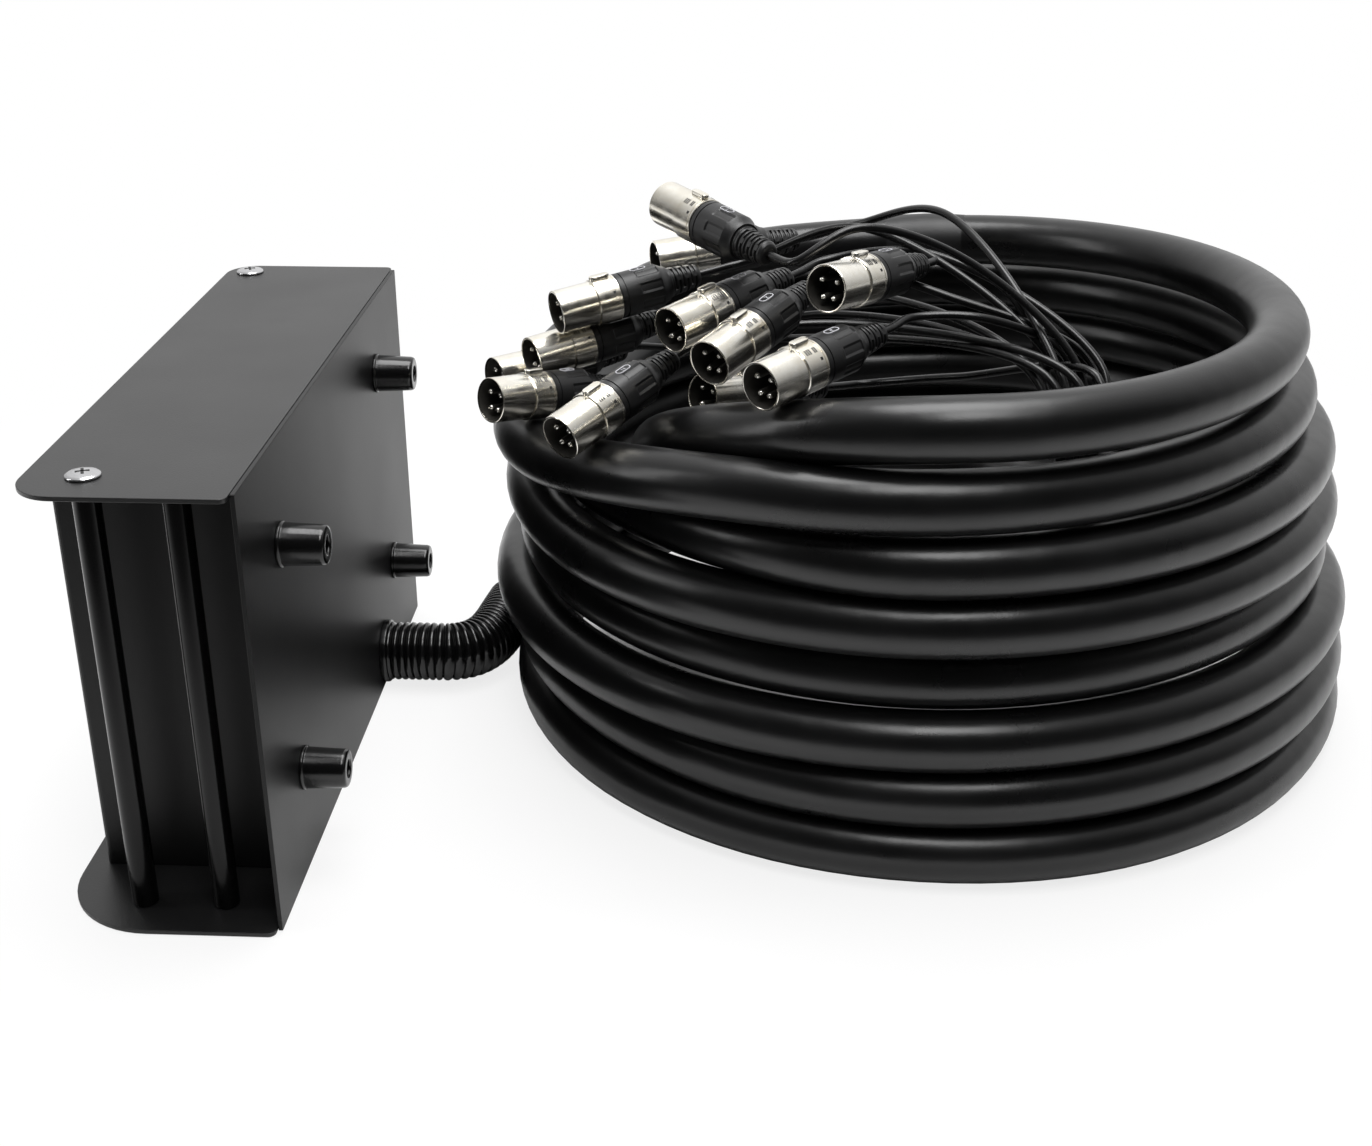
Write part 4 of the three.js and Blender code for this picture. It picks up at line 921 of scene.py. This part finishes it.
# Breakout sleeve over the cable's end
breakout_foot = coil_end - coil_end_aim * BREAKOUT_OVERLAP
breakout_turn = UP.rotation_difference(coil_end_aim).to_matrix().to_4x4()
breakout_seat = Matrix.Translation(breakout_foot) @ breakout_turn
breakout_profile = [(12.35, 0), (13.9, 0), (14.0, 19), (13.6, 24), (11.2, 34), (10.1, 44),
                    (9.2, BREAKOUT_LENGTH), (0, BREAKOUT_LENGTH)]
breakout_form = moved(turned(rounded(breakout_profile, 1.2), CABLE_SIDES), breakout_seat)
breakout = piece("breakout_sleeve", [(breakout_form, shrink_tube)],
                 replaces=["channel_leads"], sharp=50)

# Thin leads, one to each plug, that leave the breakout in an inner and an outer ring
INNER_LEADS = 3
OUTER_LEADS = len(PLUGS) - INNER_LEADS
INNER_RING_RADIUS = 2.4
OUTER_RING_RADIUS = 6.4
LEAD_TUCK = 2
BOOT_TUCK = 1


def ring_place(i):
    if i < INNER_LEADS:
        radius, angle = INNER_RING_RADIUS, 2 * math.pi * (i / INNER_LEADS)
    else:
        radius, angle = OUTER_RING_RADIUS, 2 * math.pi * ((i - INNER_LEADS) / OUTER_LEADS)
    return Vector((radius * math.cos(angle), radius * math.sin(angle), 0))


for i, ((_, _, via), (plug, seat, forward)) in enumerate(zip(PLUGS, plugs)):
    offset = ring_place(i)
    plug_end = seat @ Vector((0, 0, PLUG_LENGTH - BOOT_TUCK))
    points = [breakout_seat @ (offset + UP * (BREAKOUT_LENGTH - LEAD_TUCK)),
              breakout_seat @ (offset + UP * (BREAKOUT_LENGTH + LEAD_DIAMETER)),
              coil_place(BUNDLE_SHARES) + offset * BUNDLE_SPREAD_SHARE,
              *[coil_place(shares) for shares in reversed(via)],
              plug_end + forward * (2 * LEAD_DIAMETER + BOOT_TUCK), plug_end]
    line = smooth_line(points, LEAD_STEP)
    lead = piece(f"lead_{i + 1:02d}", [(swept(line, LEAD_DIAMETER / 2, LEAD_SIDES), lead_jacket)],
                 replaces=["channel_leads"])


# Side plates: the lower one has a hole under each bar, for its flush screw
PLATE_EDGE = 0.3
PLATE_SHARP = 10
FLUSH_HOLE_RADIUS = 4.3
upper_corners = (UPPER_NEAR_CORNER, RIGHT_CORNER, RIGHT_CORNER, UPPER_FAR_CORNER)
lower_corners = (LOWER_LEFT_CORNER, RIGHT_CORNER, RIGHT_CORNER, LOWER_LEFT_CORNER)
upper_outline = rounded_outline(PANEL_FACE_X + UPPER_PLATE_INSET, COVER_INNER_X - SEAT_GAP,
                                -HALF_LENGTH, HALF_LENGTH, upper_corners)
lower_outline = rounded_outline(PANEL_FACE_X - LOWER_PLATE_OVERHANG, COVER_INNER_X - SEAT_GAP,
                                -HALF_LENGTH, HALF_LENGTH, lower_corners)

# Bars: name, place and whether a domed screw holds the bar from above
BARS = (
    ("near_left", -17, -128, True), ("near_right", 15, -128, False),
    ("far_left", -27.8, 135, True), ("far_right", 15, 135, False),
)


def circle(x, y, radius, steps=40):
    return arc(x, y, radius, 0, 2 * math.pi, steps)[:-1]


flush_holes = [circle(x, y, FLUSH_HOLE_RADIUS) for _, x, y, _ in BARS]
upper_plate = plate_form([upper_outline], BOX_HEIGHT - PLATE_THICKNESS, BOX_HEIGHT, PLATE_EDGE)
lower_plate = plate_form([lower_outline, *flush_holes], 0, PLATE_THICKNESS, PLATE_EDGE)
piece("upper_plate_dressed", [(upper_plate, plate_coat)],
      replaces=["upper_side_plate"], sharp=PLATE_SHARP)
piece("lower_plate_dressed", [(lower_plate, plate_coat)],
      replaces=["lower_side_plate"], sharp=PLATE_SHARP)

# Base cover, drawn lying with Z across and Y along, then stood up
COVER_TURN = Matrix(((0, 0, 1, COVER_INNER_X), (0, 1, 0, 0), (-1, 0, 0, 0), (0, 0, 0, 1)))
COVER_CORNER = 0.6
COVER_EDGE = 0.25
GLAND_HOLE_RADIUS = 13.4
PINHOLE_Y = -26.2
PINHOLE_Z = 8.7
PINHOLE_RADIUS = 1.1
cover_end = HALF_LENGTH - COVER_END_INSET
cover_outline = rounded_outline(-BOX_HEIGHT, 0, -cover_end, cover_end, [COVER_CORNER] * 4, 3)
gland_hole = circle(-GLAND_Z, GLAND_Y, GLAND_HOLE_RADIUS)
pinhole = circle(-PINHOLE_Z, PINHOLE_Y, PINHOLE_RADIUS, 12)
cover = moved(plate_form([cover_outline, gland_hole, pinhole], 0, COVER_THICKNESS, COVER_EDGE), COVER_TURN)
piece("base_cover_dressed", [(cover, chassis_coat)],
      replaces=["base_cover"], sharp=PLATE_SHARP)

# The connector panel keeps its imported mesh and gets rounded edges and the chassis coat
panel = nodes["connector_panel"]
panel.data.materials.clear()
panel.data.materials.append(chassis_coat)
edge = panel.modifiers.new("edge", "BEVEL")
edge.width = COVER_EDGE * MM
edge.segments = 2
edge.limit_method = "ANGLE"
edge.angle_limit = math.radians(40)

# Handle bars and their screws
BAR_RADIUS = 5
BAR_SIDES = 48
BAR_FOOT = PLATE_THICKNESS + SEAT_GAP
BAR_HEAD = BOX_HEIGHT - BAR_FOOT
DOME_HEIGHT = 2.15
FLUSH_SIZE = 2.1
DOME_SIZE = 2.5
CROSS_ANGLES = (20, 110)
CROSS_ARM_SHARE = 0.22
CROSS_PROUD = 0.02
bar_profile = rounded([(0, BAR_FOOT), (BAR_RADIUS, BAR_FOOT), (BAR_RADIUS, BAR_HEAD), (0, BAR_HEAD)], 0.5)
flush_profile = [(0, 0.15), (3.8, 0.15), (4, 0.4), (2.5, 1.7), (2.5, BAR_FOOT), (0, BAR_FOOT)]
dome_profile = [(radius, BOX_HEIGHT + height) for radius, height in (
    (0, 0.1), (6.1, 0.1), (6.4, 0.35), (6.3, 0.9), (5.3, 1.5), (3.4, 1.95), (0, DOME_HEIGHT))]


# Cross of a screw's recess, drawn as a thin black cross standing just proud of the head: painted shade of
# the recess
def cross_recess(x, y, top, size, depth):
    half = size * CROSS_ARM_SHARE
    arm = box_form(-size, size, -half, half, top - depth, top + CROSS_PROUD)
    cross = merged(*[turned_about(arm, degrees) for degrees in CROSS_ANGLES])
    return moved(cross, Matrix.Translation((x, y, 0)))


for name, x, y, has_dome in BARS:
    at = Matrix.Translation((x, y, 0))
    piece(f"bar_{name}_dressed", [(moved(turned(bar_profile, BAR_SIDES), at), bar_coat)],
          replaces=[f"handle_bar_{name}"])
    flush = moved(turned(flush_profile, 40), at)
    recess = cross_recess(x, y, 0.6, FLUSH_SIZE, 0.5)
    piece(f"flush_screw_{name}_dressed", [(flush, dark_screw), (recess, black_plastic_and_painted_shade)],
          replaces=[f"flush_screw_{name}"])
    if has_dome:
        dome = moved(turned(rounded(dome_profile, 0.3), BAR_SIDES), at)
        recess = cross_recess(x, y, BOX_HEIGHT + DOME_HEIGHT - CROSS_PROUD, DOME_SIZE, 0.8)
        piece(f"domed_screw_{name}_dressed", [(dome, chrome_screw), (recess, black_plastic_and_painted_shade)],
              replaces=[f"domed_screw_{name}"])


# Place on the base cover for a form that lies on Z
def on_cover(y, z):
    return Matrix.Translation((COVER_FACE_X, y, z)) @ Matrix.Rotation(math.pi / 2, 4, "Y")


# Feet
FOOT_LENGTH = 18
FOOT_PLACE_SHARES = {
    "near_top": (-0.637, 0.778), "far_top": (0.586, 0.815),
    "near_bottom": (-0.63, 0.237), "far_bottom": (0.644, 0.267),
}
foot_profile = [(8.2, 0), (8.9, 0), (8.9, 1.1), (8.35, 1.5),
                (7.75, FOOT_LENGTH - 1.4), (7.3, FOOT_LENGTH - 0.3), (6.4, FOOT_LENGTH), (3.9, FOOT_LENGTH),
                (3.5, FOOT_LENGTH - 0.6), (3.4, 5), (0, 5)]
foot_screw_profile = [(0, 7.2), (1.3, 7.1), (2.6, 6.6), (3.0, 5.8), (3.0, 4.8)]
foot_form = turned(rounded(foot_profile, 0.4), 56)
foot_screw_form = turned(foot_screw_profile, 24)
for name, (along, up) in FOOT_PLACE_SHARES.items():
    at = on_cover(along * HALF_LENGTH, up * BOX_HEIGHT)
    parts = placed([(foot_form, foot_rubber), (foot_screw_form, chrome_screw)], at)
    piece(f"foot_{name}_dressed", parts, replaces=[f"rubber_foot_{name}"])

# Gland
gland_face = GLAND_RIM + SEAT_GAP
gland_profile = [(12.3, -9), (13.2, -9), (13.2, 0.15), (14.9, 0.15), (14.9, 2.6), (14.3, gland_face),
                 (12.9, gland_face), (12.6, 0)]
gland_form = moved(turned(rounded(gland_profile, 0.3, 2), 48), on_cover(GLAND_Y, GLAND_Z))
piece("gland_dressed", [(gland_form, hose_plastic)], replaces=["cable_gland"])


# Sockets and latches, drawn lying on Z with the latch towards Y
SOCKET_ROWS = 3
SOCKET_COLUMNS = 4
SOCKET_COLUMN_PITCH = 48
SOCKET_ROW_PITCH = 50
FLANGE_FACE = 2.5
FLANGE_HALF_WIDTH = 13
FLANGE_HALF_HEIGHT = 15.5
FLANGE_CORNER = 3
CAVITY_RADIUS = 9.75
CAVITY_FLOOR = -11.6
SOCKET_INSERT_RADIUS = 7.7
SOCKET_INSERT_FACE = 1.7
CONTACT_RADIUS = 1.35
SCREW_PLACES = ((-9.6, 12.2), (9.6, -12.2))
SCREW_HOLE_RADIUS = 1.7
LATCH_SLOT = (-3.2, 3.2, 11, 13.2)
LATCH_STEM = (-3, 3, 11.15, 12.95, -9, 4.6)
LATCH_TAB = (-3.9, 3.9, 9.8, 14, 4.3, 5.9)
NUMBER_SIZE = 5.2
NUMBER_PLACE = (-17.5, 11, 0.02)


def socket_parts():
    outline = rounded_outline(-FLANGE_HALF_WIDTH, FLANGE_HALF_WIDTH, -FLANGE_HALF_HEIGHT, FLANGE_HALF_HEIGHT,
                              [FLANGE_CORNER] * 4, 8)
    left, right, near, far = LATCH_SLOT
    holes = [circle(0, 0, CAVITY_RADIUS + 0.15, 64),
             *[circle(x, y, SCREW_HOLE_RADIUS, 20) for x, y in SCREW_PLACES],
             [(left, near), (right, near), (right, far), (left, far)]]
    ring_profile = [(CAVITY_RADIUS, -12), (CAVITY_RADIUS, 2.6), (10.3, 2.72), (10.7, 2.6), (10.9, 2.3)]
    insert_outlines = [circle(0, 0, SOCKET_INSERT_RADIUS, 56)]
    insert_outlines += [circle(x, y, CONTACT_RADIUS, 20) for x, y in contact_places(PIN_CIRCLE_RADIUS)]
    parts = [
        (plate_form([outline, *holes], 0.1, FLANGE_FACE, 0.35), socket_shell),
        (turned(rounded(ring_profile, 0.1), 64), socket_shell),
        (turned([(0, CAVITY_FLOOR), (CAVITY_RADIUS, CAVITY_FLOOR)], 64), black_plastic_and_painted_shade),
        (plate_form(insert_outlines, CAVITY_FLOOR + 0.1, SOCKET_INSERT_FACE, 0.2), black_plastic_and_painted_shade),
        (plate_form([circle(0, 0, 6.5, 24)], -9.5, -9.2, 0.05), black_plastic_and_painted_shade),
    ]
    screw = turned([(0, 2.5), (1.0, 2.55), (2.2, 2.3), (2.6, 1.9), (2.6, 0.9), (1.6, 0.9)], 28)
    parts += [(moved(screw, Matrix.Translation((x, y, 0))), dark_screw) for x, y in SCREW_PLACES]
    # The screws' cross recesses are black crosses, painted shade of the recess
    parts += [(cross_recess(x, y, 2.54, 1.2, 0.3), black_plastic_and_painted_shade) for x, y in SCREW_PLACES]
    return parts


socket_shapes = socket_parts()
latch_shapes = [(box_form(*LATCH_STEM), latch_steel), (box_form(*LATCH_TAB), latch_steel)]
outward = Matrix(((0, 0, -1, 0), (-1, 0, 0, 0), (0, 1, 0, 0), (0, 0, 0, 1)))
for row in range(SOCKET_ROWS):
    for column in range(SOCKET_COLUMNS):
        channel = f"{row * SOCKET_COLUMNS + column + 1:02d}"
        along = (column - (SOCKET_COLUMNS - 1) / 2) * SOCKET_COLUMN_PITCH
        up = BOX_HEIGHT / 2 + (1 - row) * SOCKET_ROW_PITCH
        at = Matrix.Translation((PANEL_FACE_X, along, up)) @ outward
        piece(f"socket_{channel}_dressed", placed(socket_shapes, at),
              replaces=[f"socket_{channel}"])
        piece(f"latch_{channel}_dressed", placed(latch_shapes, at), f"latch_{channel}",
              replaces=[f"push_latch_{channel}"], bevel=0.3)
        # Printed numbers run from left to right as seen from the panel's side
        digits = digits_form(str((row + 1) * SOCKET_COLUMNS - column), NUMBER_SIZE, 0.05)
        number = moved(digits, at @ Matrix.Translation(NUMBER_PLACE))
        piece(f"socket_number_{channel}", [(number, mark_paint)])


# Floor, with lengths in metres
FLOOR_HALF_SIZE = 8
FLOOR_LEVEL = -0.0003
OBJECT_MIDDLE = (0.22, 0.08)


# Distance of each place on the floor from a point
def floor_distance(n, x, y):
    node = n.add("ShaderNodeVectorMath", operation="DISTANCE")
    n.link(n.place, node.inputs[0])
    node.inputs[1].default_value = (x, y, 0)
    return node.outputs["Value"]


def product(n, first, second):
    node = n.add("ShaderNodeMath", operation="MULTIPLY")
    n.link(first, node.inputs[0])
    n.link(second, node.inputs[1])
    return node.outputs[0]


def floor_material():
    n = Nodes("floor")
    from_coil = floor_distance(n, COIL_X * MM, COIL_Y * MM)
    from_object = floor_distance(n, *OBJECT_MIDDLE)

    # Dark in front of the object, so that it doesn't light them from below, and dark inside the coil as
    # painted shade
    split = n.add("ShaderNodeSeparateXYZ")
    n.link(n.place, split.inputs[0])
    front = n.ranged(split.outputs["Y"], -0.55, -0.2, 0, 1)
    painted_coil_shade_mask = n.ranged(from_coil, 0.12, 0.17, 0.1, 1)
    colour = n.colours(product(n, front, painted_coil_shade_mask), [(0, grey(0.08)), (1, grey(0.9))])
    n.link(colour, n.shader.inputs["Base Color"])
    n.shader.inputs["Roughness"].default_value = 0.6
    n.shader.inputs["Specular IOR Level"].default_value = 0.2

    # White to the camera, and a little less so near the object, so that the shadow stays; inside the coil it
    # is not white, so the floor's dark colour shows there as painted shade
    beyond = n.ranged(from_object, 0.35, 0.6, 0.8, 1)
    shown = product(n, n.ranged(from_coil, 0.15, 0.18, 0, 1), beyond)
    seen = product(n, n.add("ShaderNodeLightPath").outputs["Is Camera Ray"], shown)
    glow = n.add("ShaderNodeEmission")
    glow.inputs["Strength"].default_value = 1.0
    mix = n.add("ShaderNodeMixShader")
    n.link(seen, mix.inputs[0])
    n.link(n.shader.outputs[0], mix.inputs[1])
    n.link(glow.outputs[0], mix.inputs[2])
    n.link(mix.outputs[0], n.tree.nodes["Material Output"].inputs["Surface"])
    return n.material


def make_floor():
    half = FLOOR_HALF_SIZE
    corners = [(x, y, FLOOR_LEVEL) for x, y in ((-half, -half), (half, -half), (half, half), (-half, half))]
    mesh = bpy.data.meshes.new("floor")
    mesh.from_pydata(corners, [], [(0, 1, 2, 3)])
    mesh.materials.append(floor_material())
    floor = bpy.data.objects.new("floor", mesh)
    bpy.context.scene.collection.objects.link(floor)


# Lamps, with places and sizes in metres
def lamp(name, place, aim, size, power, size_y=None):
    data = bpy.data.lights.new(name, "AREA")
    data.shape = "RECTANGLE"
    data.size = size
    data.size_y = size_y or size
    data.energy = power
    made = bpy.data.objects.new(name, data)
    made.location = place
    made.rotation_mode = "QUATERNION"
    made.rotation_quaternion = (Vector(aim) - Vector(place)).to_track_quat("-Z", "Y")
    bpy.context.scene.collection.objects.link(made)


# World: white to the camera, and to other rays pale behind and above and dark in front
PALE_SIDE = (0.1, 0.75, 0.65)
DARK_STOP = (0.05, 0.04)
PALE_STOP = (0.95, 1.1)


def make_world():
    world = bpy.data.worlds.new("world")
    bpy.context.scene.world = world
    world.use_nodes = True
    tree = world.node_tree
    background = tree.nodes["Background"]
    rays = tree.nodes.new("ShaderNodeLightPath")
    coordinates = tree.nodes.new("ShaderNodeTexCoord")
    behind = tree.nodes.new("ShaderNodeVectorMath")
    behind.operation = "DOT_PRODUCT"
    behind.inputs[1].default_value = PALE_SIDE
    tree.links.new(coordinates.outputs["Generated"], behind.inputs[0])
    ramp = tree.nodes.new("ShaderNodeValToRGB")
    for element, (place, level) in zip(ramp.color_ramp.elements, (DARK_STOP, PALE_STOP)):
        element.position = place
        element.color = (level, level, level, 1)
    tree.links.new(behind.outputs["Value"], ramp.inputs["Fac"])
    mix = tree.nodes.new("ShaderNodeMix")
    mix.data_type = "RGBA"
    tree.links.new(rays.outputs["Is Camera Ray"], mix.inputs["Factor"])
    tree.links.new(ramp.outputs["Color"], mix.inputs["A"])
    mix.inputs["B"].default_value = (1, 1, 1, 1)
    tree.links.new(mix.outputs["Result"], background.inputs["Color"])


make_floor()
make_world()
lamp("top_softbox", (0.25, 0.15, 1.6), (0.25, 0.1, 0), 0.9, 19)
lamp("front_softbox", (0.4, -0.8, 1.8), (0.25, 0.05, 0.1), 0.7, 13)
lamp("left_strip", (-1.5, -0.3, 0.8), (0, 0, 0.1), 0.3, 7, 1.4)
bpy.context.scene.view_settings.view_transform = "Standard"
